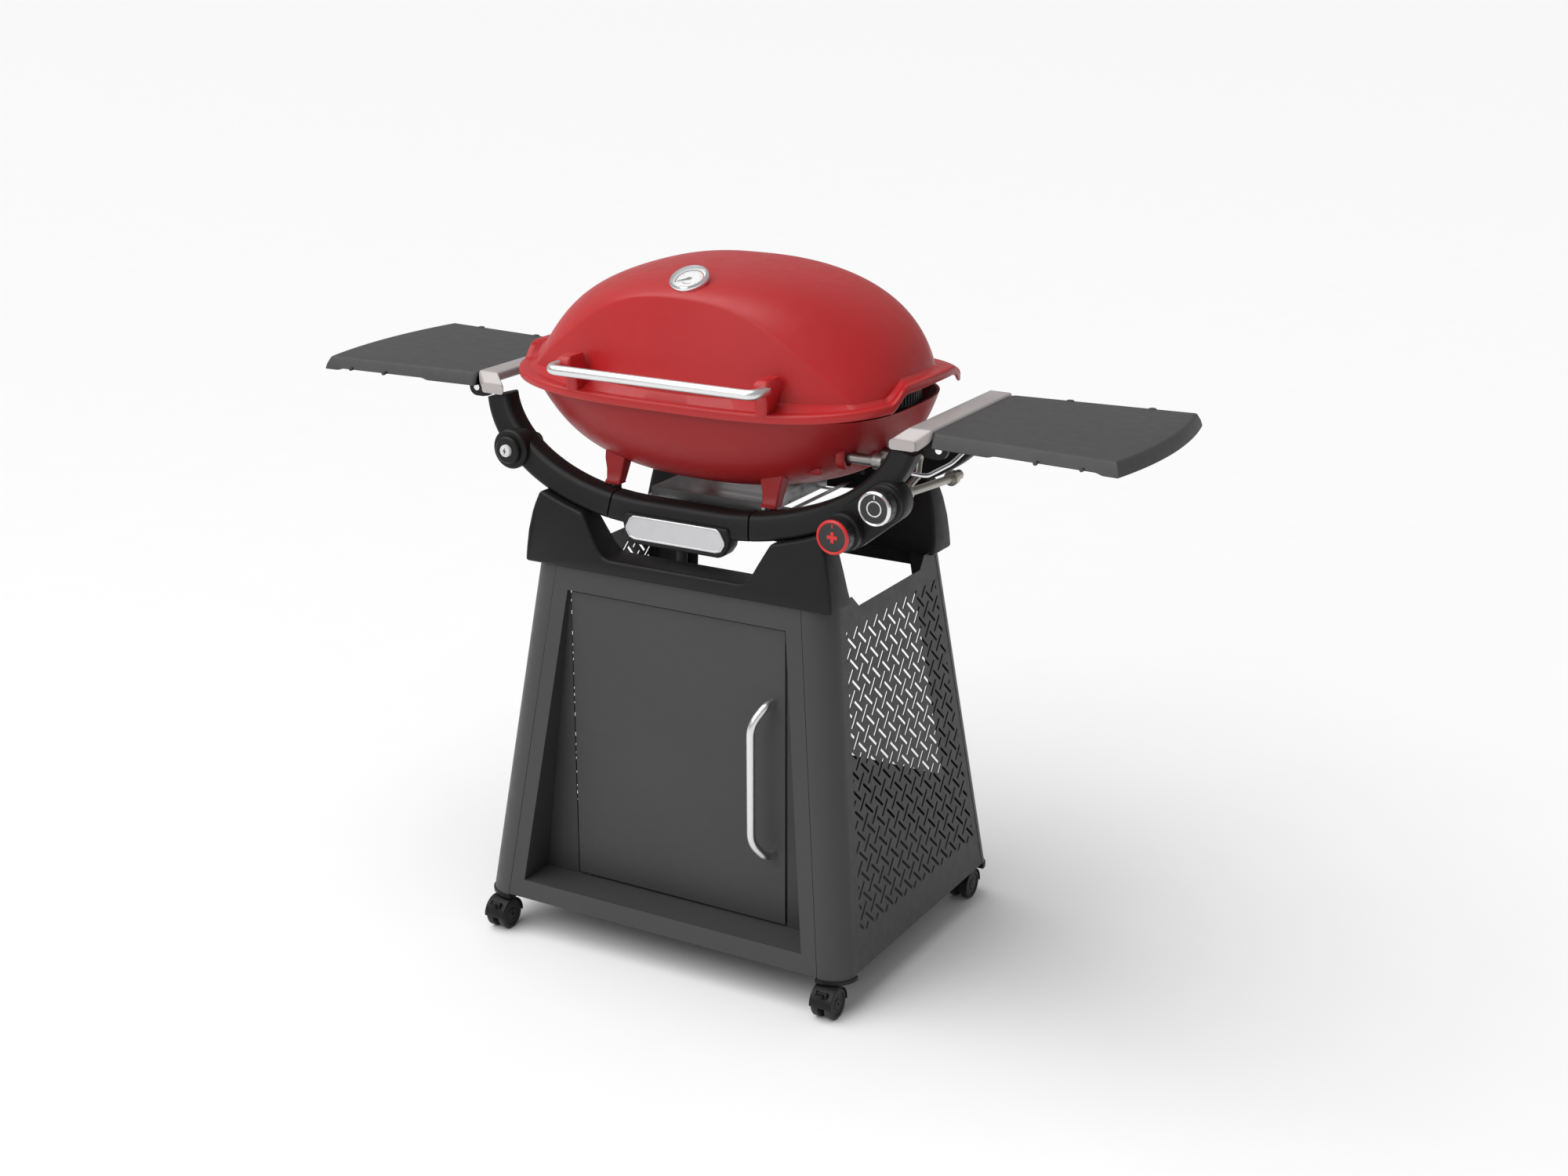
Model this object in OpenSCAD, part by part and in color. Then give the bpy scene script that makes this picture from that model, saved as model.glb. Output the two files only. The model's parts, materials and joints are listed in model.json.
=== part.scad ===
// Gas barbecue grill on a wheeled cabinet cart, closed and folded out.
// Millimetres. X to the viewer's right, Y to the back, Z up from the floor.

/* [Cart] */
// Angle at which the four legs and panels lean inwards, in degrees
lean = 7; // [4:0.5:10]
// Height of the legs' lower ends above the floor
leg_z0 = 58; // [50:1:70]
// Height of the legs' upper ends
leg_z1 = 598; // [560:1:640]
// Half width of the cart at the legs' lower ends
cart_x = 320; // [280:1:360]
// Half depth of the cart at the legs' lower ends, from its own middle
cart_d = 251; // [220:1:280]
// Y of the middle of the cart and cradle
mid_y = 5; // [-10:1:20]
// Sheet thickness of the cart
sheet = 1.5; // [1:0.1:3]

/* [Door] */
// Half width of the door
door_x = 184; // [150:1:200]
// Door bottom height
door_z0 = 93; // [90:1:110]
// Door top height
door_z1 = 552; // [500:1:554]
// Y of the door's outer face
door_y = -180; // [-182:1:-170]
// Diameter of the door handle tube
door_tube = 13; // [10:0.5:18]

/* [Perforation] */
// Spacing of the slots both ways
slot_pitch = 31; // [24:1:40]
// Slot length
slot_len = 29; // [16:1:32]
// Slot width
slot_w = 4.4; // [2:0.2:8]

/* [Castors] */
// Wheel radius
wheel_r = 23.5; // [18:0.5:30]
// Distance of the axle behind the swivel stem
trail = 18; // [10:1:25]
// X of the swivel stems
stem_x = 290; // [270:1:300]

/* [Cradle] */
// Half length of the straight middle of the rails
rail_x0 = 60; // [40:1:90]
// Half width of the curved part of the rails
rail_a = 285; // [260:1:300]
// Height of the curved part of the rails
rail_b = 162; // [140:1:180]
// Height of the rail ends' centre of curvature
rail_z = 850; // [830:1:870]
// Rail width across the curve
rail_w = 39; // [30:1:50]
// Rail depth front to back
rail_t = 36; // [30:1:50]

/* [Lid and cookbox] */
// Half width of the lid dome
lid_a = 301.3; // [280:0.1:320]
// Half width over the lid's flange
lid_w = 320; // [300:1:340]
// Front depth of the dome
lid_bf = 208.9; // [190:0.1:220]
// Back depth of the dome
lid_bb = 158.1; // [140:0.1:190]
// Height of the top of the lid
lid_top = 1042; // [1000:1:1080]
// Wall thickness of the castings
wall = 4; // [3:0.5:6]
// Half width of the cookbox
box_a = 293; // [270:1:300]
// Half depth of the cookbox
box_b = 198; // [180:1:205]
// Height of the cookbox rim
box_z1 = 855; // [840:1:860]
// Height of the cookbox bottom
box_z0 = 718; // [700:1:740]
// Points round the castings
around = 72; // [48:12:96]
// Rows up the castings
rows = 12; // [8:1:16]

/* [Side tables] */
// Height of the table tops
table_z = 854; // [840:1:870]
// Table thickness at the edge
table_h = 20; // [14:1:30]
// X of the inner edge
table_x0 = 384.5; // [383:0.5:395]
// X of the outer edge at its middle
table_x1 = 677.7; // [640:0.1:700]
// X of the fold axis
fold_x = 390; // [388:1:394]
// Z of the fold axis
fold_z = 829; // [820:1:834]

/* [Controls] */
// Knob radius
knob_r = 25; // [20:0.5:28]
// Knob depth
knob_h = 25; // [18:1:32]

/* [Hidden] */
$fn = 48;
tl = tan(lean);
leg_rx = 45;
leg_ry = 35;
charcoal = "#3b3b3c";
black = "#1d1d1e";
grey = "#525354";
steel = "#c9cacc";
warm = "#b3acab";
red = "#b3262a";
iron = "#2c2c2d";
brass = "#b9974a";
wheel_z = wheel_r;
brake_p = 20;
stem_y = cart_d - 24;
lid_z = 869;
hinge_y = 214;
hinge_z = 866;
knobs = [[270, 709, -178], [328, 755, -167]];

// ---------- helpers ----------

// Leans a shape drawn at the legs' lower ends: sx, sy are +1 right or back, -1 left or front.
module leaning(sx, sy)
    multmatrix([[1, 0, -sx * tl, sx * tl * leg_z0],
                [0, 1, -sy * tl, sy * tl * leg_z0],
                [0, 0, 1, 0]]) children();

// Copies children to the other side of the cart's own middle plane in Y.
module at_back() translate([0, mid_y, 0]) mirror([0, 1, 0]) translate([0, -mid_y, 0]) children();

// Draws a flat X-Z outline as a plate from y0 to y1.
module plate_xz(y0, y1) translate([0, y1, 0]) rotate([90, 0, 0]) linear_extrude(y1 - y0) children();

// Draws a flat Y-Z outline as a plate from x0 to x1.
module plate_yz(x0, x1)
    translate([x0, 0, 0]) rotate([90, 0, 90]) linear_extrude(x1 - x0) children();

// Cylinder along Y from y0 to y1.
module rod_y(x, y0, y1, z, r) translate([x, y1, z]) rotate([90, 0, 0]) cylinder(r = r, h = y1 - y0);

// Cylinder along X from x0 to x1.
module rod_x(x0, x1, y, z, r) translate([x0, y, z]) rotate([0, 90, 0]) cylinder(r = r, h = x1 - x0);

// Round bar between two points.
module rod(p, q, r) {
    d = q - p;
    l = norm(d);
    translate(p) rotate([0, acos(d[2] / l), atan2(d[1], d[0])]) cylinder(r = r, h = l);
}

// Round bar with ball corners through a list of points.
module bar(pts, r) {
    for (i = [0 : len(pts) - 2]) rod(pts[i], pts[i + 1], r);
    for (i = [1 : len(pts) - 2]) translate(pts[i]) sphere(r = r * 1.12);
}

function spow(v, e) = sign(v) * pow(abs(v), e);
function step01(t) = t < 0 ? 0 : t > 1 ? 1 : t * t * (3 - 2 * t);

// Closed skin through a list of rings, with one point at each end.
module skin(rings, first, last) {
    m = len(rings[0]);
    n = len(rings);
    pts = concat([first], [for (r = rings) for (p = r) p], [last]);
    polyhedron(points = pts, convexity = 6, faces = concat(
        [for (j = [0 : m - 1]) [0, 1 + j, 1 + (j + 1) % m]],
        [for (i = [0 : n - 2]) for (j = [0 : m - 1])
            [1 + i * m + j, 1 + (i + 1) * m + j, 1 + i * m + (j + 1) % m]],
        [for (i = [0 : n - 2]) for (j = [0 : m - 1])
            [1 + i * m + (j + 1) % m, 1 + (i + 1) * m + j, 1 + (i + 1) * m + (j + 1) % m]],
        [for (j = [0 : m - 1]) [1 + (n - 1) * m + j, 1 + n * m, 1 + (n - 1) * m + (j + 1) % m]]));
}

// ---------- cart ----------

module leg(sx, sy) {
    x0 = cart_x - leg_rx;
    y0 = cart_d - leg_ry;
    translate([0, mid_y, 0]) leaning(sx, sy) translate([0, 0, leg_z0])
        linear_extrude(leg_z1 - leg_z0) difference() {
            intersection() {
                translate([sx * x0, sy * y0]) scale([leg_rx, leg_ry]) circle(r = 1);
                translate([sx > 0 ? x0 : -cart_x, sy > 0 ? y0 : -cart_d]) square([leg_rx, leg_ry]);
            }
            intersection() {
                translate([sx * x0, sy * y0]) scale([leg_rx - 2, leg_ry - 2]) circle(r = 1);
                translate([sx > 0 ? x0 + 2 : -cart_x, sy > 0 ? y0 + 2 : -cart_d])
                    square([leg_rx - 2, leg_ry - 2]);
            }
        }
}

module leg_front_left() color(charcoal) leg(-1, -1);
module leg_front_right() color(charcoal) leg(1, -1);
module leg_rear_left() color(charcoal) leg(-1, 1);
module leg_rear_right() color(charcoal) leg(1, 1);

// Plastic foot on each leg, with a plug inside it and the castor's socket.
module leg_caps() color(black)
    for (sx = [-1, 1], sy = [-1, 1]) difference() {
        union() {
            translate([sx * (cart_x - leg_rx), mid_y + sy * (cart_d - leg_ry), leg_z0 - 6])
                linear_extrude(6) intersection() {
                    scale([leg_rx + 2, leg_ry + 2]) circle(r = 1);
                    translate([sx > 0 ? -3 : -57, sy > 0 ? -3 : -57]) square([60, 60]);
                }
            translate([sx * stem_x, mid_y + sy * stem_y, leg_z0]) cylinder(r = 8.5, h = 26);
        }
        translate([sx * stem_x, mid_y + sy * stem_y, leg_z0 - 10]) cylinder(r = 4.05, h = 34);
    }

// Leaning front sheet with its door opening, reveals and filler triangles.
module front_frame() color(charcoal) union() {
    w0 = cart_x - leg_rx - 1;
    translate([0, mid_y - cart_d, 0]) multmatrix([[1, 0, 0, 0], [0, 1, tl, -tl * leg_z0], [0, 0, 1, 0]])
        plate_xz(0, sheet) difference() {
            polygon([[-w0, 60], [w0, 60], [w0 - (leg_z1 - 60) * tl, leg_z1], [-w0 + (leg_z1 - 60) * tl, leg_z1]]);
            polygon([[-246, 89], [246, 89], [187.5, 555], [-187.5, 555]]);
        }
    for (s = [-1, 1]) {
        // reveal from the sheet back to the door's plane
        intersection() {
            plate_xz(mid_y - cart_d, door_y + 3.5)
                polygon([[s * 246, 89], [s * 248, 89], [s * 189.5, 555], [s * 187.5, 555]]);
            plate_yz(-300, 300) polygon([[mid_y - cart_d + (89 - leg_z0) * tl, 89],
                [door_y + 3.5, 89], [door_y + 3.5, 555], [mid_y - cart_d + (555 - leg_z0) * tl, 555]]);
        }
        // filler triangle beside the door
        plate_xz(door_y + 1.5, door_y + 3)
            polygon([[s * 187, 89.5], [s * 247, 89.5], [s * 188.5, 555], [s * 187, 555]]);
    }
    // head flange carrying the upper door pin
    difference() {
        translate([-189, door_y - 4, 554.5]) cube([378, 20, sheet]);
        translate([-172, door_y + 8, 550]) cylinder(r = 2.55, h = 10);
    }
}

module base_shelf() color(charcoal) union() {
    yf = mid_y - cart_d + (89 - leg_z0) * tl + 2;
    difference() {
        translate([-270, yf, 87.5]) cube([540, 2 * (mid_y - yf), sheet]);
        translate([-172, door_y + 8, 80]) cylinder(r = 2.55, h = 20);
    }
    for (s = [-1, 1]) {
        translate([s > 0 ? 269 : -313, mid_y - 200, 87.5]) cube([44, 400, sheet]);
        translate([s > 0 ? 311.5 : -313, mid_y - 200, 66]) cube([sheet, 400, 22]);
        translate([-268, mid_y + s * 150 - 10, 66]) cube([536, 20, sheet]);
        translate([-268, mid_y + s * 150 - 10, 66]) cube([536, sheet, 22]);
        translate([-268, mid_y + s * 150 + 10 - sheet, 66]) cube([536, sheet, 22]);
    }
}

// Perforated side sheet, drawn flat in Y-Z and leaned inwards.
module side_panel(s) {
    half0 = cart_d - leg_ry - 1;
    half1 = half0 - (leg_z1 - 4 - leg_z0) * tl;
    top = leg_z1 - 3;
    multmatrix([[1, 0, -s * tl, s * tl * leg_z0], [0, 1, 0, 0], [0, 0, 1, 0]])
        plate_yz(s > 0 ? cart_x - 1.8 : -cart_x + 0.6, s > 0 ? cart_x - 0.6 : -cart_x + 1.8)
        difference() {
            polygon([[mid_y - half0, 60], [mid_y + half0, 60], [mid_y + half1, top],
                [mid_y + half1 - 34, top], [mid_y + half1 - 52, top - 18],
                [mid_y - half1 + 52, top - 18], [mid_y - half1 + 34, top], [mid_y - half1, top]]);
            intersection() {
                polygon([[-185, 113], [198, 113], [148, 550], [-137, 550]]);
                union() for (j = [-1 : 13], i = [-2 : 10]) {
                    translate([-122.7 + i * slot_pitch, 530 - j * slot_pitch]) rotate(-45)
                        square([slot_len, slot_w], center = true);
                    translate([-107.2 + i * slot_pitch, 514.3 - j * slot_pitch]) rotate(45)
                        square([slot_len, slot_w], center = true);
                }
            }
        }
}

module side_panel_left() color(charcoal) side_panel(-1);
module side_panel_right() color(charcoal) side_panel(1);

// Rear of the cart: a top rail and a low panel with the bottle opening between them.
module rear_frame() color(charcoal) union() {
    w0 = cart_x - leg_rx - 1;
    w1 = w0 - (leg_z1 - 60) * tl;
    translate([0, mid_y + cart_d - sheet, 0])
        multmatrix([[1, 0, 0, 0], [0, 1, -tl, tl * leg_z0], [0, 0, 1, 0]]) plate_xz(0, sheet) difference() {
            polygon([[-w0, 60], [w0, 60], [w1, leg_z1], [-w1, leg_z1]]);
            polygon([[-w0 + 38, 190], [w0 - 38, 190], [w1 - 14, leg_z1 - 46], [-w1 + 14, leg_z1 - 46]]);
        }
}

// Moulded head of the cart that caps two legs and carries a rail.
module trim() color(black) difference() {
    intersection() {
        plate_xz(-200, -110) union() {
            polygon([[0, 590], [262, 590], [256, 640], [243, 690], [225, 716], [196, 716],
                [155, 672], [112, 613], [-112, 613], [-155, 672], [-196, 716], [-225, 716],
                [-243, 690], [-256, 640], [-262, 590]]);
        }
        plate_yz(-300, 300) polygon([[-188, 590], [-124, 590], [-132, 650], [-140, 716], [-178, 716],
            [-186, 650]]);
    }
    for (s = [-1, 1]) translate([s > 0 ? 150 : -258.5, -182, 560]) cube([108.5, 60, 78]);
    translate([-160, -182, 560]) cube([320, 100, 48]);
    // room for the rail
    plate_xz(-230, -100) {
        band_2d(-270, 270, 0.5);
        translate([-150, 640]) square([300, 60]);
    }
}

module trim_front() trim();
module trim_rear() at_back() trim();

module door_pins() color(steel) {
    translate([-172, door_y + 8, 546]) cylinder(r = 2.5, h = 12);
    translate([-172, door_y + 8, 556.2]) cylinder(r = 4.5, h = 2.5);
    translate([-172, door_y + 8, 84]) cylinder(r = 2.5, h = 14);
    translate([-172, door_y + 8, 84.5]) cylinder(r = 4.5, h = 2.5);
}

module door_catch() color(black)
    translate([150, door_y + 17, 538]) difference() {
        cube([26, 14, 16.5]);
        translate([3, -1, 3]) cube([20, 3, 8]);
    }

module door_panel() color(charcoal) difference() {
    translate([-door_x, door_y, door_z0]) cube([2 * door_x, 15, door_z1 - door_z0]);
    difference() {
        translate([-door_x + 1.2, door_y + 1.2, door_z0 + 1.2])
            cube([2 * door_x - 2.4, 20, door_z1 - door_z0 - 2.4]);
        // pivot blocks round the pins
        for (z = [door_z0, door_z1 - 16]) translate([-door_x, door_y, z]) cube([24, 15, 16]);
    }
    translate([-172, door_y + 8, door_z0 - 5]) cylinder(r = 2.56, h = 12);
    translate([-172, door_y + 8, door_z1 - 7]) cylinder(r = 2.56, h = 12);
}

module door_handle() color(steel) {
    r = door_tube / 2;
    bar([[163, door_y, 440], [163, door_y - 18, 440], [148, door_y - 36, 412], [148, door_y - 36, 232],
        [163, door_y - 18, 204], [163, door_y, 204]], r);
}

// ---------- cradle ----------

function rail_y(z) = -178 + (z - 660) * 0.24;

// Outline of the cradle band between x0 and x1: flat middle and elliptical ends, widened by grow.
module band_2d(x0, x1, grow = 0) intersection() {
    h = rail_w / 2 + grow;
    translate([x0, 600]) square([x1 - x0, 228]);
    difference() {
        union() {
            for (s = [-1, 1]) translate([s * rail_x0, rail_z]) scale([rail_a + h, rail_b + h]) circle(r = 1);
            translate([-rail_x0, rail_z - rail_b - h]) square([2 * rail_x0, 100]);
        }
        for (s = [-1, 1]) translate([s * rail_x0, rail_z]) scale([rail_a - h, rail_b - h]) circle(r = 1);
        translate([-rail_x0, rail_z - rail_b + h]) square([2 * rail_x0, 200]);
    }
}

// Cradle band as a solid that leans back as it rises.
module rail_band(x0, x1)
    multmatrix([[1, 0, 0, 0], [0, 1, 0.24, -0.24 * 660], [0, 0, 1, 0]])
        plate_xz(-178, -178 + rail_t) band_2d(x0, x1);

// Boss on a rail's top that a cookbox foot stands on.
module foot_boss(s) translate([s * 133, -131, 702]) cylinder(r = 9, h = 14);

module rail_centre() color(black) union() {
    rail_band(-116.6, 116.6);
    plate_xz(-178, -146) polygon([[-92, 655], [-78, 641], [78, 641], [92, 655], [92, 690], [-92, 690]]);
}

module rail_left() color(black) difference() {
    union() {
        rail_band(-400, -117);
        foot_boss(-1);
        // disc and collar round the igniter's button
        rod_y(-300, -166, -134, 752, 30);
        rod_y(-300, -173, -160, 752, 21);
    }
    rod_y(-300, -200, -90, 752, 9.7);
}

module rail_right() color(black) difference() {
    union() {
        rail_band(117, 400);
        foot_boss(1);
        // pod that holds both valves
        plate_xz(-160, -128) union() {
            for (k = knobs) translate([k[0], k[1]]) circle(r = 30);
            translate([knobs[0][0], knobs[0][1]]) rotate(atan2(46, 58)) translate([0, -29.6]) square([74, 59.2]);
        }
        for (k = knobs) rod_y(k[0], k[2] + 1, -150, k[1], 28);
    }
    for (k = knobs) rod_y(k[0], -200, -100, k[1], 9);
}

module rail_rear() color(black) at_back() union() {
    rail_band(-400, 400);
    for (s = [-1, 1]) foot_boss(s);
}

module badge() color(steel) plate_xz(-180.5, -178)
    polygon([[-70, 686], [70, 686], [77, 682], [84, 669], [84, 663], [78, 653], [70, 650],
        [-70, 650], [-78, 653], [-84, 663], [-84, 669], [-77, 682]]);

// Straight cap strip over the cradle's ends, with a falling nose front and back.
module strip(s) color(warm) union() {
    translate([s > 0 ? 344.5 : -382, -124, 843]) cube([37.5, 258, 14]);
    for (e = [0, 1]) translate([0, e * mid_y * 2, 0]) mirror([0, e, 0]) hull() {
        translate([s > 0 ? 344.5 : -382, -125, 843]) cube([37.5, 2, 14]);
        translate([s > 0 ? 325 : -364, -143, 828]) cube([39, 12, 14]);
    }
}

module strip_left() strip(-1);
module strip_right() strip(1);

// Lugs under the strips, each with the pin its table folds about.
module table_brackets() color(black)
    for (s = [-1, 1], e = [0, 1]) translate([0, e * mid_y * 2, 0]) mirror([0, e, 0]) union() {
        plate_xz(-122.5, -114.5) union() {
            translate([s * fold_x, fold_z]) circle(r = 13);
            translate([s > 0 ? 352 : -fold_x, fold_z]) square([fold_x - 352, 14]);
        }
        rod_y(s * fold_x, -115, -102.5, fold_z, 3);
    }

module table_outline(x1) intersection() {
    polygon([[table_x0, -136], [x1, -136 - (x1 - table_x0) * 0.068], [x1, 145 + (x1 - table_x0) * 0.091],
        [table_x0, 145]]);
    translate([x1 - 733, 3]) circle(r = 733, $fn = 180);
}

module table(s) color(grey) mirror([s > 0 ? 0 : 1, 0, 0]) union() {
    difference() {
        hull() {
            translate([0, 0, table_z - 2]) linear_extrude(2) table_outline(table_x1 - 9);
            translate([0, 0, table_z - table_h]) linear_extrude(2) table_outline(table_x1);
        }
        translate([table_x0 - 1, -132, table_z - table_h - 1]) cube([279, 273, table_h - 3]);
    }
    // hinge arms
    for (y = [-112, 112]) translate([0, y, 0]) difference() {
        union() {
            rod_y(fold_x, 0, 10, fold_z, 7.5);
            translate([fold_x - 3, 0, fold_z]) cube([10, 10, 23]);
        }
        rod_y(fold_x, -1, 11, fold_z, 3.06);
    }
    // stiffening ribs and tool pegs
    for (x = [460, 560]) translate([x, -133, table_z - 14]) cube([3, 275, 12]);
    for (x = [545, 610]) rod_y(x, -156, -130, table_z - 15, 3);
}

module table_left() table(-1);
module table_right() table(1);

// ---------- lid and cookbox ----------

// Height of the lid's lower edge round its outline.
function seam(x, y) =
    y < -110 ? 854 + 12 * pow(abs(x) / 300, 3) :
    y < -70 ? 866 + 23 * step01((y + 110) / 40) :
    y < 75 ? 889 :
    y < 115 ? 889 - 18 * step01((y - 75) / 40) : 871;

// Outline of the lid's flange at angle t, drawn in by g.
function rim(t, g) = [(lid_w - g) * spow(cos(t), 2 / 3.5), (208 - g) * spow(sin(t), 2 / 3.5)];

// Dome point at angle t and height share h, drawn in by g.
function dome(t, h, g) =
    let (n = sin(t) < 0 ? 2.2 : 2.78,
         r = pow(1 - pow(h, 2.149), 1 / 2.149),
         rf = pow(1 - pow(h, 10), 1 / 1.716),
         rb = pow(1 - pow(h, 2.198), 1 / 2.198),
         b = sin(t) < 0 ? (lid_bf - g) * rf : (lid_bb - g) * rb,
         x = (lid_a - g) * r * spow(cos(t), 2 / n),
         y = 1.2 + 34.7 * h + b * spow(sin(t), 2 / n))
    [x, max(y, -185 + g + x * x / 1500 + 0.15 * (lid_top - lid_z) * h)];

function dome_z(h, g) = lid_z + (lid_top - g - lid_z) * h;

// One ring of the dome, starting above the flange at share u of the way to the top.
function dome_ring(u, g) = [for (j = [0 : around - 1])
    let (t = (j + 0.5) * 360 / around, q = rim(t, 0), z0 = seam(q[0], q[1]) + 12 - g,
         h0 = max(0.002, (z0 - lid_z) / (lid_top - lid_z)),
         h = pow(sin(asin(pow(h0, 1.075)) * (1 - u) + 90 * u), 1 / 1.075),
         p = dome(t, h, g))
    [p[0], p[1], dome_z(h, g)]];

function rim_ring(g, up) = [for (j = [0 : around - 1])
    let (t = (j + 0.5) * 360 / around, q = rim(t, 0), p = rim(t, g))
    [p[0], p[1], seam(q[0], q[1]) + up]];

module lid_shell() skin(concat(
    [for (i = [rows - 1 : -1 : 0]) dome_ring(0.97 * i / (rows - 1), wall)],
    [rim_ring(3.5, 7.5), rim_ring(3.5, 0), rim_ring(0, 0), rim_ring(0, 9), rim_ring(2, 11)],
    [for (i = [0 : rows - 1]) dome_ring(0.97 * i / (rows - 1), 0)]),
    [0, 36, lid_top - wall], [0, 36, lid_top]);

// The whole casting, brought to its overall width.
module lid() color(red) resize([2 * lid_w, 0, 0]) difference() {
    union() {
        lid_shell();
        // handle bosses with ribs down to the flange
        for (s = [-1, 1]) {
            translate([s * 157 - 9, -212, 866]) cube([18, 40, 42]);
            rod_y(s * 157, -228, -172, 905, 11);
        }
        // hinge ears
        for (s = [-1, 1]) translate([s * 130 - 14, 0, 0]) {
            translate([0, 196, 872]) cube([28, 22, 8]);
            translate([0, hinge_y - 6, hinge_z]) cube([28, 12, 12]);
            rod_x(0, 28, hinge_y, hinge_z, 7);
        }
    }
    for (s = [-1, 1]) rod_x(s * 130 - 20, s * 130 + 20, hinge_y, hinge_z, 3.05);
    // thermometer hole
    gauge(-40, 20, 7);
    // flat seat under its case
    gauge(0, 20, 29.2);
}

module lid_pins() color(steel) for (s = [-1, 1]) {
    rod_x(s * 130 - 27, s * 130 + 27, hinge_y, hinge_z, 3);
    rod_x(s * 130 - 29, s * 130 - 26.5, hinge_y, hinge_z, 5);
    rod_x(s * 130 + 26.5, s * 130 + 29, hinge_y, hinge_z, 5);
}

module lid_handle() color(steel) union() {
    rod_x(-177, 177, -240, 903, 7.5);
    for (s = [-1, 1]) rod_y(s * 157, -240, -228, 904, 6.5);
}

module gauge(z0, z1, r) translate([0, -128, 1026]) rotate([27, 0, 0]) translate([0, 0, z0])
    cylinder(r = r, h = z1 - z0);

module thermometer_case() color(steel) difference() {
    union() {
        gauge(0, 9, 29);
        gauge(-34, 0, 3);
        gauge(-12, 0, 6.9);
    }
    gauge(1.5, 10, 25);
}
module thermometer_dial() color("white") difference() {
    gauge(1.5, 3, 24.9);
    gauge(1, 4, 1.6);
}
module thermometer_glass() color("#cfe6ee", 0.4) gauge(6.5, 8, 24.9);
module thermometer_needle() color("#303030") translate([0, -128, 1026]) rotate([27, 0, 0]) {
    translate([0, 0, 1.6]) cylinder(r = 1.5, h = 4);
    translate([-0.8, -5, 4]) cube([1.6, 24, 1]);
}

// Bowl point at angle t and depth share h below the rim, drawn in by g.
function bowl(t, h, g) =
    let (r = pow(1 - pow(h, 2.3), 1 / 2.3))
    [(box_a - g) * r * spow(cos(t), 2 / 2.2), (box_b - g) * r * spow(sin(t), 2 / 2.2),
     box_z1 - (box_z1 - box_z0 - g) * h];
function bowl_ring(u, g) = [for (j = [0 : around - 1])
    bowl(-(j + 0.5) * 360 / around, pow(sin(90 * u), 2 / 2.3), g)];

module cookbox() color(red) resize([2 * box_a, 0, 0]) difference() {
    union() {
        skin(concat([for (i = [rows - 1 : -1 : 0]) bowl_ring(0.97 * i / (rows - 1), wall)],
            [for (i = [0 : rows - 1]) bowl_ring(0.97 * i / (rows - 1), 0)]),
            [0, 0, box_z0 + wall], [0, 0, box_z0]);
        // feet on the rails' bosses
        for (s = [-1, 1], e = [0, 1]) translate([0, e * 10, 0]) mirror([0, e, 0]) {
            translate([s * 133 - 13, -134, 716.2]) cube([26, 22, 38]);
            translate([s * 133 - 13, -141, 716.2]) cube([26, 20, 5]);
        }
        // ledges under the grates
        for (a = [35, 145, 215, 325, 90, 270]) let (p = bowl(a, 0.15, 0))
            translate([0.965 * p[0], 0.95 * p[1], 834]) cube([20, 20, 8], center = true);
        // hinge ears
        for (s = [-1, 1], d = [-25, 17])
            let (x = s * 130 + d, y = box_b * pow(1 - pow(abs(x + 4) / box_a, 2.2), 1 / 2.2) - 3)
            translate([x, 0, 0]) {
                rod_x(0, 8, hinge_y, hinge_z, 7);
                translate([0, y, 842]) cube([8, hinge_y - y, 12]);
                translate([0, hinge_y - 7, 842]) cube([8, 14, 24]);
            }
    }
    for (s = [-1, 1]) rod_x(s * 130 - 30, s * 130 + 30, hinge_y, hinge_z, 3.01);
    // burner tube holes and drip hole
    rod_x(180, 300, -104, 797, 13);
    rod_x(180, 310, -50, 794, 13);
    translate([0, 0, 700]) cylinder(r = 24, h = 40);
}

// Curved strip with upright slots between the cookbox and the raised sides of the lid.
module vent_mesh() color(black) for (s = [-1, 1]) difference() {
    intersection() {
        translate([0, 0, 848]) linear_extrude(36) difference() {
            scale([288.4, 193.4]) circle(r = 1, $fn = 180);
            scale([286.9, 191.9]) circle(r = 1, $fn = 180);
        }
        translate([s > 0 ? 200 : -300, -80, 840]) cube([100, 165, 50]);
    }
    for (y = [-72 : 8 : 80]) translate([s > 0 ? 200 : -300, y, 858]) cube([100, 4, 20]);
}

// Half of the cast cooking grate.
module grate(s) color(iron) mirror([s > 0 ? 0 : 1, 0, 0]) translate([0, 0, 838.3])
    linear_extrude(11) intersection() {
        translate([1, -200]) square([300, 400]);
        union() {
            difference() {
                scale([272, 178]) circle(r = 1);
                scale([262, 168]) circle(r = 1);
            }
            intersection() {
                scale([268, 174]) circle(r = 1);
                union() {
                    translate([1, -180]) square([9, 360]);
                    for (x = [26 : 17 : 264]) translate([x, -180]) square([8, 360]);
                    for (y = [-100, 0, 100]) translate([0, y - 4]) square([264, 8]);
                }
            }
        }
    }
module grate_left() grate(-1);
module grate_right() grate(1);

// Outer burner: pressed oval loop with its feed out of the right side.
module burner_main() color(steel) union() {
    translate([0, 0, 787]) linear_extrude(14) difference() {
        union() {
            for (s = [-1, 1]) translate([s * 110, 0]) circle(r = 95);
            translate([-110, -95]) square([220, 190]);
        }
        for (s = [-1, 1]) translate([s * 110, 0]) circle(r = 77);
        translate([-110, -77]) square([220, 154]);
    }
    rod_x(180, 292, -50, 794, 8.5);
    rod_x(290, 304, -50, 794, 12);
}
// Inner burner: straight tube in the middle with its feed beside the first one.
module burner_small() color(steel) union() {
    rod_x(-100, 60, 0, 796, 9);
    bar([[59, 0, 796], [110, -40, 815], [140, -104, 818], [180, -104, 797], [286, -104, 797]], 8);
    rod_x(284, 298, -104, 797, 11.5);
}

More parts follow.
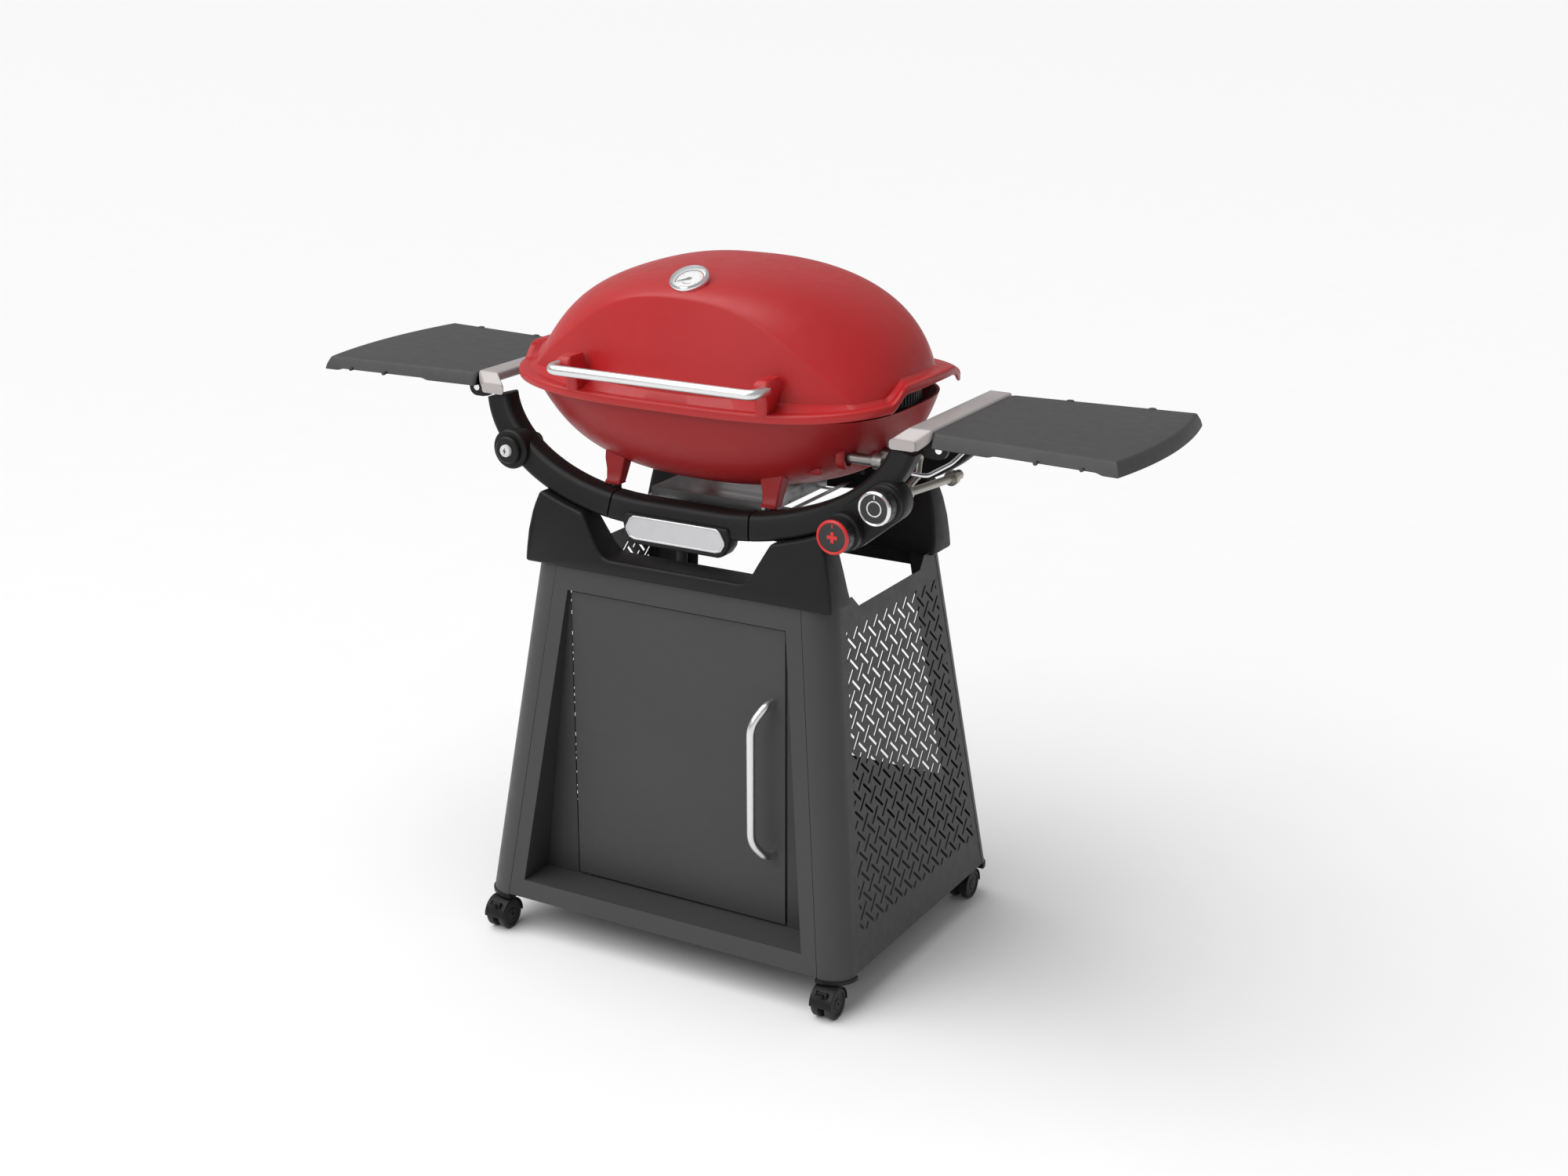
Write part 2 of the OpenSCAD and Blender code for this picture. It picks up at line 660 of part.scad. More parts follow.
// Valves behind the knobs and the pipes up to the burner tubes.
module manifold() color(brass) union() {
    for (k = knobs) {
        rod_y(k[0], -115.5, -92, k[1], 12);
        difference() {
            rod_y(k[0], -150, -110, k[1], 8.5);
            rod_y(k[0], -160, -118, k[1], 4.04);
        }
    }
    bar([[270, -108, 709], [300, -104, 730], [318, -104, 790], [318, -104, 797]], 5);
    rod_x(299, 322, -104, 797, 5);
    bar([[328, -108, 755], [328, -60, 770], [326, -50, 794]], 5);
    rod_x(305, 330, -50, 794, 5);
    rod([270, -106, 709], [328, -106, 755], 6);
    rod([328, -106, 755], [334, 40, 745], 6);
}
// Threaded gas inlet the hose screws on to.
module gas_inlet() color(brass) difference() {
    union() {
        rod_y(334, 30, 64, 745, 7.5);
        rod_y(334, 36, 46, 745, 11);
    }
    rod_y(334, 44, 70, 745, 4);
    rod([328, -106, 755], [334, 40, 745], 6);
}
module igniter_box() color(black) difference() {
    rod_y(-300, -123.5, -96, 752, 12.5);
    rod_y(-300, -130, -112, 752, 9.7);
    rail_band(-400, -117);
}
module electrode() color("#e8e4da") union() {
    rod_x(-160, -150, -60, 812, 4);
    rod_x(-205, -150, -60, 812, 1.2);
    rod_x(-150, -134, -60, 812, 1);
    translate([-136, -62, 800]) cube([2, 4, 13]);
}
module igniter_button() color("white") union() {
    rod_y(-300, -178, -150, 752, 9.4);
    rod_y(-300, -152, -122, 752, 5);
}

// ---------- below the cookbox ----------

// Open frame between the rails that the tray slides on.
module drip_holder() color(steel) union() {
    for (y = [-88, 90]) translate([-116, y, 684.3]) cube([232, 8, 1.5]);
    for (x = [-116, 108]) translate([x, -135.8, 684.3]) cube([8, 281.6, 1.5]);
}
module drip_tray() color(steel) difference() {
    translate([-95, mid_y - 98, 686]) cube([190, 196, 20]);
    translate([-94, mid_y - 97, 687]) cube([188, 194, 20]);
}
module hose_hook() color(steel)
    bar([[330, 60, 800], [352, 60, 790], [352, 0, 778], [352, -80, 778], [336, -96, 784]], 3);

// ---------- controls ----------

module knob(k) difference() {
    union() {
        rod_y(k[0], k[2] - knob_h, k[2], k[1], knob_r - 2.5);
        rod_y(k[0], k[2] - knob_h + 3, k[2] - 5, k[1], knob_r);
        rod_y(k[0], k[2] - 1, -122, k[1], 4);
    }
    translate([k[0] - 1.5, k[2] - knob_h - 1, k[1] + 8]) cube([3, 2, 14]);
}
module knob_small() color(black) knob(knobs[0]);
module knob_main() color(black) knob(knobs[1]);

// ---------- castors ----------

// Moves a castor drawn round its stem at x = 0, y = 0 to a corner.
module corner(sx, sy) translate([sx * stem_x, mid_y + sy * stem_y, 0]) children();

module castor(brake) color(black) translate([0, -trail, wheel_z]) difference() {
    union() {
        rod_x(-4.4, 4.4, 0, 0, 12);
        translate([-4.4, 0, 0]) cube([8.8, trail + 6, 20]);
        translate([0, trail, 23]) cylinder(r = 9, h = 5.2);
        translate([0, trail, 20]) cylinder(r = 4, h = 36);
        // hood over both wheels
        rotate([0, 0, 90]) rotate([90, 0, 0]) translate([0, 0, -18]) linear_extrude(36)
            difference() {
                circle(r = 26.5);
                circle(r = 24.3);
                translate([-60, -62]) square([120, 60]);
                translate([20, -60]) square([40, 84]);
            }
        translate([-4.4, -4, 8]) cube([8.8, trail + 8, 17]);
        if (brake) for (s = [-1, 1]) translate([s > 0 ? 6.6 : -9.6, 0, 0]) rotate([0, 90, 0])
            difference() {
                translate([-brake_p, -brake_p, 0]) cylinder(r = 4.5, h = 3);
                translate([0, 0, -1]) cylinder(r = 24.3, h = 5);
            }
    }
    rod_x(-10, 10, 0, 0, 3.05);
    if (brake) {
        rod_x(-12, 12, -brake_p, brake_p, 1.56);
        rod_x(-6.4, 6.4, -brake_p, brake_p, 4.6);
    }
}
module wheels() color("#202021") translate([0, -trail, wheel_z]) {
    for (s = [-1, 1]) difference() {
        rod_x(s > 0 ? 5 : -17, s > 0 ? 17 : -5, 0, 0, wheel_r);
        rod_x(s > 0 ? 15 : -18, s > 0 ? 18 : -15, 0, 0, wheel_r - 4);
    }
    rod_x(-15.5, 15.5, 0, 0, 3);
}
// Brake lever on the hood's front.
module brake() color("#2a2a2b") translate([0, -trail - brake_p, wheel_z + brake_p]) difference() {
    union() {
        rod_x(-6, 6, 0, 0, 3.6);
        rod_x(-9.6, 9.6, 0, 0, 1.5);
        rotate([-6, 0, 0]) translate([-6, -10, -1.5]) cube([12, 10, 4]);
    }
    rod_x(-12, 12, brake_p, -brake_p, 24.3);
}

module castor_front_left() corner(-1, -1) castor(true);
module castor_front_right() corner(1, -1) castor(true);
module castor_rear_left() corner(-1, 1) castor(false);
module castor_rear_right() corner(1, 1) castor(false);
module wheels_front_left() corner(-1, -1) wheels();
module wheels_front_right() corner(1, -1) wheels();
module wheels_rear_left() corner(-1, 1) wheels();
module wheels_rear_right() corner(1, 1) wheels();
module brake_left() corner(-1, -1) brake();
module brake_right() corner(1, -1) brake();

// ---------- parts ----------
leg_front_left();
leg_front_right();
leg_rear_left();
leg_rear_right();
leg_caps();
front_frame();
base_shelf();
side_panel_left();
side_panel_right();
rear_frame();
trim_front();
trim_rear();
door_pins();
door_catch();
door_panel();
door_handle();
rail_centre();
rail_left();
rail_right();
rail_rear();
badge();
strip_left();
strip_right();
table_brackets();
table_left();
table_right();
cookbox();
vent_mesh();
grate_left();
grate_right();
burner_main();
burner_small();
manifold();
gas_inlet();
igniter_box();
electrode();
igniter_button();
drip_holder();
drip_tray();
hose_hook();
lid();
lid_pins();
lid_handle();
thermometer_case();
thermometer_dial();
thermometer_glass();
thermometer_needle();
knob_main();
knob_small();
castor_front_left();
castor_front_right();
castor_rear_left();
castor_rear_right();
wheels_front_left();
wheels_front_right();
wheels_rear_left();
wheels_rear_right();
brake_left();
brake_right();
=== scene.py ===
"""Looks of the gas barbecue grill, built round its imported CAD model, in metres."""
import json
import math

import bmesh
import bpy
import numpy as np
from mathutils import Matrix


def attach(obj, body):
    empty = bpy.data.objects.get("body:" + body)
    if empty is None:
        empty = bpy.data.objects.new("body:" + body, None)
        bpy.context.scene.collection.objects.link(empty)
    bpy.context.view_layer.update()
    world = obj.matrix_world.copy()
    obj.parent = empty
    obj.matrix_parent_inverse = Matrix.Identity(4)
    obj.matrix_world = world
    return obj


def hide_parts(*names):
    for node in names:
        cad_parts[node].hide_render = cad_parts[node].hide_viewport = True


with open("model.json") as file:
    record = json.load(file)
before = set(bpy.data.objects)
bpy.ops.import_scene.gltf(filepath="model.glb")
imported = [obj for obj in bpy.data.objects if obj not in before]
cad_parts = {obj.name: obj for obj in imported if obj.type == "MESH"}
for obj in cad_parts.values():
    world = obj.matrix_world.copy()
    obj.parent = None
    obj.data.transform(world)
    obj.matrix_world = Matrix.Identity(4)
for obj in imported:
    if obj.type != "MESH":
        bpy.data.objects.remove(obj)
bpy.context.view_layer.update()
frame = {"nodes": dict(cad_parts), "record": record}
NODES = frame["nodes"]

# ---------- camera ----------
cam_data = bpy.data.cameras.new("camera")
cam_data.lens, cam_data.sensor_width = 50, 36
cam = bpy.data.objects.new("camera", cam_data)
cam.location = (1.6304, -2.7034, 1.5658)
cam.rotation_euler = (math.radians(90 - 18.069), 0, math.radians(29.852))
bpy.context.scene.collection.objects.link(cam)
bpy.context.scene.camera = cam


# ---------- materials ----------
def material(name, base, rough, metallic=0.0, grain=1500.0, bump=0.1, mottle=0.06, rvar=0.05,
             wear=0.25, worn=None, coat=0.0, stretch=(1, 1, 1), speckle=0.0, alpha=1.0, spec=0.5):
    """Principled material with colour mottling, roughness variation, grain bump and edge wear."""
    m = bpy.data.materials.new(name)
    m.use_nodes = True
    nt = m.node_tree
    nt.nodes.clear()
    new, link = nt.nodes.new, nt.links.new
    out, bsdf = new("ShaderNodeOutputMaterial"), new("ShaderNodeBsdfPrincipled")
    link(bsdf.outputs["BSDF"], out.inputs["Surface"])
    coord, mapping = new("ShaderNodeTexCoord"), new("ShaderNodeMapping")
    mapping.inputs["Scale"].default_value = stretch
    link(coord.outputs["Object"], mapping.inputs["Vector"])

    def noise(scale, detail, vector):
        n = new("ShaderNodeTexNoise")
        n.inputs["Scale"].default_value, n.inputs["Detail"].default_value = scale, detail
        link(vector, n.inputs["Vector"])
        return n.outputs["Fac"]

    def spread(fac, low, high):
        r = new("ShaderNodeMapRange")
        r.inputs["From Min"].default_value, r.inputs["From Max"].default_value = 0.3, 0.7
        r.inputs["To Min"].default_value, r.inputs["To Max"].default_value = low, high
        link(fac, r.inputs["Value"])
        return r.outputs["Result"]

    fine = noise(grain, 3, mapping.outputs["Vector"])
    middle = noise(60, 4, mapping.outputs["Vector"])
    broad = noise(7, 3, coord.outputs["Object"])
    tint = new("ShaderNodeMix")
    tint.data_type = "RGBA"
    tint.inputs["A"].default_value = (*[c * (1 - mottle) for c in base], 1)
    tint.inputs["B"].default_value = (*[min(1, c * (1 + mottle)) for c in base], 1)
    link(spread(broad, 0, 1), tint.inputs["Factor"])
    colour = tint.outputs["Result"]
    if speckle:
        dots = new("ShaderNodeMix")
        dots.data_type = "RGBA"
        dots.inputs["B"].default_value = (*[min(1, c * 1.6 + 0.02) for c in base], 1)
        link(spread(fine, 0, speckle), dots.inputs["Factor"])
        link(colour, dots.inputs["A"])
        colour = dots.outputs["Result"]
    if wear:
        geo, edge = new("ShaderNodeNewGeometry"), new("ShaderNodeMapRange")
        edge.inputs["From Min"].default_value, edge.inputs["From Max"].default_value = 0.53, 0.62
        edge.inputs["To Max"].default_value = wear
        link(geo.outputs["Pointiness"], edge.inputs["Value"])
        mix = new("ShaderNodeMix")
        mix.data_type = "RGBA"
        mix.inputs["B"].default_value = (*(worn or [min(1, c * 1.5 + 0.03) for c in base]), 1)
        link(edge.outputs["Result"], mix.inputs["Factor"])
        link(colour, mix.inputs["A"])
        colour = mix.outputs["Result"]
    link(colour, bsdf.inputs["Base Color"])
    link(spread(middle, max(0.02, rough - rvar), min(1, rough + rvar)), bsdf.inputs["Roughness"])
    height = new("ShaderNodeBump")
    height.inputs["Strength"].default_value = bump
    height.inputs["Distance"].default_value = 0.0004
    link(fine, height.inputs["Height"])
    link(height.outputs["Normal"], bsdf.inputs["Normal"])
    bsdf.inputs["Metallic"].default_value = metallic
    bsdf.inputs["Specular IOR Level"].default_value = spec
    bsdf.inputs["Coat Weight"].default_value = coat
    bsdf.inputs["Coat Roughness"].default_value = 0.25
    bsdf.inputs["Alpha"].default_value = alpha
    return m


RED = material("red_enamel", (0.41, 0.012, 0.014), 0.38, grain=900, bump=0.12, mottle=0.03, spec=0.4,
               wear=0.15, worn=(0.55, 0.05, 0.05))
# Darker copy of the same red enamel for the bowl: painted shade, standing in for the shadow the lid flange
# casts over the bowl.
SHADED_BOWL_RED = material("red_enamel_bowl_painted_shade", (0.27, 0.009, 0.011), 0.42, grain=900, bump=0.12, mottle=0.03,
                    spec=0.3, wear=0.15, worn=(0.5, 0.04, 0.04))
COAT = material("powder_coat", (0.036, 0.036, 0.037), 0.44, grain=1800, bump=0.2, speckle=0.06, wear=0.2,
                spec=0.32)
BLACK = material("black_plastic", (0.009, 0.009, 0.0093), 0.42, grain=1300, bump=0.14, wear=0.1, spec=0.2)
TABLE = material("table_plastic", (0.052, 0.052, 0.053), 0.55, grain=1100, bump=0.2, mottle=0.02,
                 speckle=0.04, wear=0.04, spec=0.3)
STRIP = material("strip_grey", (0.40, 0.37, 0.365), 0.42, metallic=0.25, grain=1600, bump=0.08, wear=0.2)
STEEL = material("steel_tube", (0.74, 0.74, 0.745), 0.30, metallic=1, grain=700, bump=0.05,
                 stretch=(0.03, 1, 1),
                 rvar=0.08, wear=0.1)
STEEL_Z = material("steel_tube_upright", (0.74, 0.74, 0.745), 0.30, metallic=1, grain=700, bump=0.05,
                   stretch=(1, 1, 0.03), rvar=0.08, wear=0.1)
CHROME = material("chrome", (0.80, 0.80, 0.82), 0.12, metallic=1, grain=900, bump=0.02, rvar=0.04, wear=0.1)
ALU = material("aluminium", (0.66, 0.66, 0.67), 0.36, metallic=1, grain=500, bump=0.06,
               stretch=(0.05, 1, 1),
               rvar=0.1, wear=0.1)
BADGE = material("badge_metal", (0.55, 0.55, 0.56), 0.33, metallic=1, grain=1400, bump=0.18, rvar=0.06,
                 wear=0.2,
                 worn=(0.8, 0.8, 0.8))
IRON = material("cast_iron", (0.020, 0.020, 0.021), 0.58, grain=420, bump=0.5, wear=0.3)
DULL = material("burner_steel", (0.34, 0.33, 0.32), 0.45, metallic=1, grain=300, bump=0.1, mottle=0.2,
                rvar=0.12)
BRASS = material("plated_brass", (0.36, 0.345, 0.31), 0.36, metallic=1, grain=800, bump=0.05, mottle=0.12)
WHITE = material("white_plastic", (0.62, 0.62, 0.63), 0.35, grain=900, bump=0.05, wear=0.1)
CERAMIC = material("ceramic", (0.75, 0.72, 0.66), 0.3, grain=500, bump=0.05)
DIAL = material("dial_white", (0.80, 0.80, 0.79), 0.5, grain=900, bump=0.02, wear=0)
INK = material("dial_black", (0.015, 0.015, 0.015), 0.5, grain=900, bump=0.02, wear=0)
ROUGE = material("mark_red", (0.55, 0.015, 0.015), 0.4, grain=900, bump=0.03, wear=0)
KNOB = material("knob_plastic", (0.012, 0.012, 0.012), 0.33, grain=900, bump=0.06, wear=0.15)
WHEEL = material("wheel_plastic", (0.018, 0.018, 0.019), 0.5, grain=1200, bump=0.25, wear=0.15, spec=0.3)


def glass_material():
    """Clear gauge glass with the faintest roughness change."""
    m = material("gauge_glass", (0.95, 0.98, 0.98), 0.05, grain=500, bump=0.01, rvar=0.02, wear=0,
                 alpha=0.06)
    m.node_tree.nodes["Principled BSDF"].inputs["IOR"].default_value = 1.45
    return m


GLASS = glass_material()
SLOTS = {"red_enamel": RED, "charcoal_steel": COAT, "black_plastic": BLACK, "table_plastic": TABLE,
         "strip_grey": STRIP, "steel_tube": STEEL, "chrome": CHROME, "aluminium": ALU, "badge_metal": BADGE,
         "cast_iron": IRON, "burner_steel": DULL, "brass": BRASS, "ceramic": CERAMIC,
         "white_plastic": WHITE,
         "knob_plastic": KNOB, "castor_plastic": BLACK, "wheel_plastic": WHEEL, "dial": DIAL,
         "glass": GLASS,
         "needle_metal": INK}
SLOT_OF = {s["node"]: s["material_slot"] for s in frame["record"]["subparts"]}
for node_name, node_obj in NODES.items():
    node_obj.data.materials.clear()
    node_obj.data.materials.append(SLOTS[SLOT_OF[node_name]])


# ---------- mesh helpers (millimetres in, metres out) ----------
class Shape:
    """Vertices and faces gathered from several pieces of one object."""

    def __init__(self):
        self.v, self.f, self.m = [], [], []

    def add(self, verts, faces, mat=0):
        base = len(self.v)
        self.v += [tuple(float(c) for c in p) for p in verts]
        self.f += [tuple(base + i for i in f) for f in faces]
        self.m += [mat] * len(faces)
        return self


def finish_piece(name, shape, mats, body, replaces=(), angle=35, bevel=0.0, subdiv=0):
    """Turns a Shape into an object that rides on a CAD body and stands for CAD nodes."""
    me = bpy.data.meshes.new(name)
    me.from_pydata([(x / 1000, y / 1000, z / 1000) for x, y, z in shape.v], [], shape.f)
    for m in mats:
        me.materials.append(m)
    me.polygons.foreach_set("material_index", shape.m)
    bm = bmesh.new()
    bm.from_mesh(me)
    bmesh.ops.remove_doubles(bm, verts=bm.verts, dist=1e-6)
    bmesh.ops.dissolve_degenerate(bm, edges=bm.edges, dist=1e-7)
    bmesh.ops.recalc_face_normals(bm, faces=bm.faces)
    bm.to_mesh(me)
    bm.free()
    o = bpy.data.objects.new(name, me)
    bpy.context.scene.collection.objects.link(o)
    if bevel:
        b = o.modifiers.new("edges", "BEVEL")
        b.width, b.segments, b.limit_method, b.angle_limit = bevel / 1000, 3, "ANGLE", math.radians(30)
        b.harden_normals = False
    if subdiv:
        o.modifiers.new("smooth", "SUBSURF").levels = subdiv
        o.modifiers["smooth"].render_levels = subdiv
    if bevel or subdiv:
        o.data = bpy.data.meshes.new_from_object(o.evaluated_get(bpy.context.evaluated_depsgraph_get()))
        o.modifiers.clear()
    o.data.shade_smooth()
    o.data.set_sharp_from_angle(angle=math.radians(angle))
    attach(o, body)
    if replaces:
        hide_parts(*replaces)
    return o


def ring_faces(n, rows):
    """Quads between successive rings of n points."""
    return [(i * n + j, i * n + (j + 1) % n, (i + 1) * n + (j + 1) % n, (i + 1) * n + j)
            for i in range(rows - 1) for j in range(n)]


def loft(sections, caps=True):
    """Skin through rings of equal length, with flat end caps."""
    n = len(sections[0])
    v = [p for s in sections for p in s]
    f = ring_faces(n, len(sections))
    if caps:
        f.append(tuple(range(n - 1, -1, -1)))
        f.append(tuple((len(sections) - 1) * n + i for i in range(n)))
    return v, f


def lathe(profile, origin, axis, n=64, caps=True):
    """Turned shape: profile is (radius, distance along axis)."""
    a = np.array(axis, float)
    a /= np.linalg.norm(a)
    u = np.cross(a, (1, 0, 0) if abs(a[0]) < 0.9 else (0, 0, 1))
    u /= np.linalg.norm(u)
    w = np.cross(a, u)
    o = np.array(origin, float)
    rings = [[o + a * h + r * (math.cos(t) * u + math.sin(t) * w)
              for t in (2 * math.pi * k / n for k in range(n))] for r, h in profile]
    return loft(rings, caps)


def smooth_path(points, radius, steps=8):
    """Polyline with its corners rounded to about the given radius."""
    p = [np.array(q, float) for q in points]
    out = [p[0]]
    for a, b, c in zip(p[:-2], p[1:-1], p[2:]):
        d1, d2 = a - b, c - b
        r = min(radius, np.linalg.norm(d1) * 0.49, np.linalg.norm(d2) * 0.49)
        s, e = b + d1 / np.linalg.norm(d1) * r, b + d2 / np.linalg.norm(d2) * r
        out += [(1 - t) ** 2 * s + 2 * t * (1 - t) * b + t * t * e
            for t in (k / steps for k in range(steps + 1))]
    return out + [p[-1]]


def tube(path, r, n=24, caps=True):
    """Round bar along a path, with rings carried along without twist."""
    p = [np.array(q, float) for q in path]
    rings, up = [], None
    for i, q in enumerate(p):
        t = p[min(i + 1, len(p) - 1)] - p[max(i - 1, 0)]
        t /= np.linalg.norm(t)
        if up is None:
            up = np.cross(t, (0, 0, 1) if abs(t[2]) < 0.9 else (1, 0, 0))
        up = up - t * up.dot(t)
        up /= np.linalg.norm(up)
        w = np.cross(t, up)
        rings.append([q + r * (math.cos(a) * up + math.sin(a) * w)
                      for a in (2 * math.pi * k / n for k in range(n))])
    return loft(rings, caps)


def rounded_rect(w0, w1, d0, d1, r, k=5):
    """Corner-rounded rectangle as (w, d) pairs."""
    out = []
    for cw, cd, a0 in ((w1 - r, d1 - r, 0), (w0 + r, d1 - r, 90), (w0 + r, d0 + r, 180),
                       (w1 - r, d0 + r, 270)):
        out += [(cw + r * math.cos(math.radians(a0 + 90 * i / k)),
                 cd + r * math.sin(math.radians(a0 + 90 * i / k)))
                for i in range(k + 1)]
    return out


def block(x0, x1, y0, y1, z0, z1, r=3):
    """Box with rounded upright edges and softened ends."""
    s = []
    for z, g in ((z0, r * 0.6), (z0 + r * 0.6, 0), (z1 - r * 0.6, 0), (z1, r * 0.6)):
        s.append([(x, y, z) for x, y in rounded_rect(x0 + g, x1 - g, y0 + g, y1 - g, r)])
    return loft(s)


def prism_xz(outline, front, back):
    """Solid with an X-Z outline whose front and back Y depend on Z."""
    n = len(outline)
    v = [(x, front(z), z) for x, z in outline] + [(x, back(z), z) for x, z in outline]
    f = [tuple(range(n)), tuple(range(2 * n - 1, n - 1, -1))]
    f += [(i, i + n, (i + 1) % n + n, (i + 1) % n) for i in range(n)]
    return v, f


def mirror_x(v, f):
    return [(-p[0], p[1], p[2]) for p in v], [tuple(reversed(q)) for q in f]


MID_Y = 5.0


def mirror_y(v, f):
    return [(p[0], 2 * MID_Y - p[1], p[2]) for p in v], [tuple(reversed(q)) for q in f]


def step01(t):
    t = np.clip(t, 0, 1)
    return t * t * (3 - 2 * t)


# ---------- lid and cookbox ----------
LID_Z, LID_TOP = 869.0, 1042.0


def spow(v, e):
    return np.sign(v) * np.abs(v) ** e


def seam(x, y):
    """Height of the lid's lower edge, which rises along the sides over the vents."""
    return np.where(y < -110, 854 + 12 * (np.abs(x) / 300) ** 3,
                    np.where(y < 20, 866 + 23 * step01((y + 110) / 40), 889 - 18 * step01((y - 75) / 40)))


def rim(t, g):
    """Outline of the lid's flange at angle t, drawn in by g."""
    return (320 - g) * spow(np.cos(t), 2 / 3.5), (208 - g) * spow(np.sin(t), 2 / 3.5)


def dome(t, h, g):
    """Plan point of the dome at angle t and height share h, with the front cut off to a crease."""
    s = np.sin(t)
    square_up = 1.0 * (1 - h) ** 4
    n = np.where(s < 0, 2.2 + square_up, 2.2 + square_up + 0.58 * step01(s * 4) * h)
    r = (1 - h ** 2.149) ** (1 / 2.149)
    b = np.where(s < 0, (208.9 - g) * (1 - h ** 10) ** (1 / 1.716),
                 (158.1 - g) * (1 - h ** 2.198) ** (1 / 2.198))
    x = (301.3 - g) * r * spow(np.cos(t), 2 / n)
    y = 1.2 + 34.7 * h + b * spow(s, 2 / n)
    cut = -185 + g + x * x / 1500 + 0.15 * (LID_TOP - LID_Z) * h
    k = 2.5
    soft = np.maximum(y, cut) + np.maximum(k - np.abs(y - cut), 0) ** 2 / (4 * k)
    return x, np.where(s < 0, soft, y)


def lid_ring(u, g, t):
    """Ring of the dome at share u of the way from the flange to the top."""
    qx, qy = rim(t, 0)
    h0 = np.maximum(0.002, (seam(qx, qy) + 13 - g - LID_Z) / (LID_TOP - LID_Z))
    h = np.sin(np.arcsin(h0 ** 1.075) * (1 - u) + math.pi / 2 * u) ** (1 / 1.075)
    x, y = dome(t, h, g)
    return list(zip(x, y, LID_Z + (LID_TOP - g - LID_Z) * h))


def flange_ring(g, up, t):
    """Ring of the flange, drawn in by g and raised by up over the lower edge."""
    qx, qy = rim(t, 0)
    x, y = rim(t, g)
    return list(zip(x, y, seam(qx, qy) + up))


def blend_ring(a, b, k, lift=0.0):
    return [tuple(p[i] * (1 - k) + q[i] * k + (lift if i == 2 else 0) for i in range(3)) for p,
            q in zip(a, b)]


N = 400
T = np.array([(j + 0.5) * 2 * math.pi / N for j in range(N)])
us = [0.985 * (i / 79) ** 1.05 for i in range(80)]
inner = [lid_ring(u, 4, T) for u in us[::-4]]
outer = [lid_ring(u, 0, T) for u in us]
top_edge, base = flange_ring(2.2, 12, T), outer[0]
lip = [flange_ring(4, 7, T), flange_ring(3.6, 0.6, T), flange_ring(3, 0, T), flange_ring(0.6, 0, T),
       flange_ring(0, 0.8, T), flange_ring(0, 8.5, T), flange_ring(0.6, 10.8, T), top_edge]
fillet = [blend_ring(top_edge, base, k, lift) for k,
          lift in ((0.3, -0.3), (0.6, -0.6), (0.82, -0.6), (0.94, 0.2))]
rings = inner + lip + fillet + outer
v, f = loft(rings, caps=False)
apex_in, apex_out = len(v), len(v) + 1
v += [(0, 36, LID_TOP - 4), (0, 36, LID_TOP)]
f += [(apex_in, (j + 1) % N, j) for j in range(N)]
last = (len(rings) - 1) * N
f += [(apex_out, last + j, last + (j + 1) % N) for j in range(N)]
lid = Shape().add(v, f)
for s in (-1, 1):
    # boss with its rib running down to the flange
    sect = []
    for z, x0, x1, y0 in ((866, 147, 167, -203), (885, 148, 168, -203), (896, 149, 172, -212),
                          (903, 150, 176, -216),
                          (912, 151, 175, -214), (917, 154, 171, -208)):
        sect.append([(x, y, z) for x, y in rounded_rect(x0, x1, y0, -168 if z < 900 else -172, 5)])
    bv, bf = loft(sect)
    lid.add(*(mirror_x(bv, bf) if s < 0 else (bv, bf)))
    # hinge ear at the back
    lid.add(*block(s * 130 - 14, s * 130 + 14, 193, 219, 872, 880, 2))
    lid.add(*lathe([(3.2, 0), (6.2, 0), (7, 0.8), (7, 27.2), (6.2, 28), (3.2, 28), (3.2, 0)],
                   (s * 130 - 14, 214, 866),
                   (1, 0, 0), 32, caps=False))
finish_piece("lid_casting", lid, [RED], "lid", ["lid"], angle=50)


def bowl_ring(h, g, t):
    """Ring of the bowl at depth share h, drawn in by g."""
    r = (1 - h ** 2.3) ** (1 / 2.3)
    n = 2.2 + 1.0 * (1 - h) ** 4
    return list(zip((293 - g) * r * spow(np.cos(t), 2 / n), (198 - g) * r * spow(np.sin(t), 2 / n),
                    np.full(len(t), 855 - (137 - g) * h)))


NB = 240
TB = np.array([(j + 0.5) * 2 * math.pi / NB for j in range(NB)])
hs = [math.sin(math.pi / 2 * 0.99 * i / 39) ** (2 / 2.3) for i in range(40)]
hs[0] = 0.0
in_rings = [bowl_ring(h, 4, TB) for h in hs[::-1]]
out_rings = [bowl_ring(h, 0, TB) for h in hs]
v, f = loft(in_rings + out_rings, caps=False)
a = len(v)
v += [(0, 0, 722), (0, 0, 718)]
f += [(a, j, (j + 1) % NB) for j in range(NB)]
last = (2 * len(hs) - 1) * NB
f += [(a + 1, last + (j + 1) % NB, last + j) for j in range(NB)]
bowl = Shape().add(v, f)
for s in (-1, 1):
    for back in (False, True):
        sect = []
        for z, w, y0, y1 in ((716.2, 13, -141, -121), (719, 13, -141, -121), (722, 12.5, -137, -118),
                             (736, 14, -134, -112),
                             (752, 17, -133, -108), (765, 19, -128, -110)):
            sect.append([(s * 133 + x, y, z) for x, y in rounded_rect(-w, w, y0, y1, 3)])
        bv, bf = loft(sect)
        if back:
            bv, bf = mirror_y(bv, bf)
        bowl.add(bv, bf)
    for d in (-25, 17):
        x = s * 130 + d
        y = 198 * (1 - (abs(x + 4) / 293) ** 2.2) ** (1 / 2.2) - 3
        bowl.add(*block(x, x + 8, y, 214, 842, 854, 1.5))
        bowl.add(*lathe([(3.1, 0), (6.4, 0), (7, 0.6), (7, 7.4), (6.4, 8), (3.1, 8), (3.1, 0)],
                        (x, 214, 866), (1, 0, 0), 32,
                        caps=False))
        bowl.add(*block(x, x + 8, 207.5, 220.5, 842, 862, 1.5))
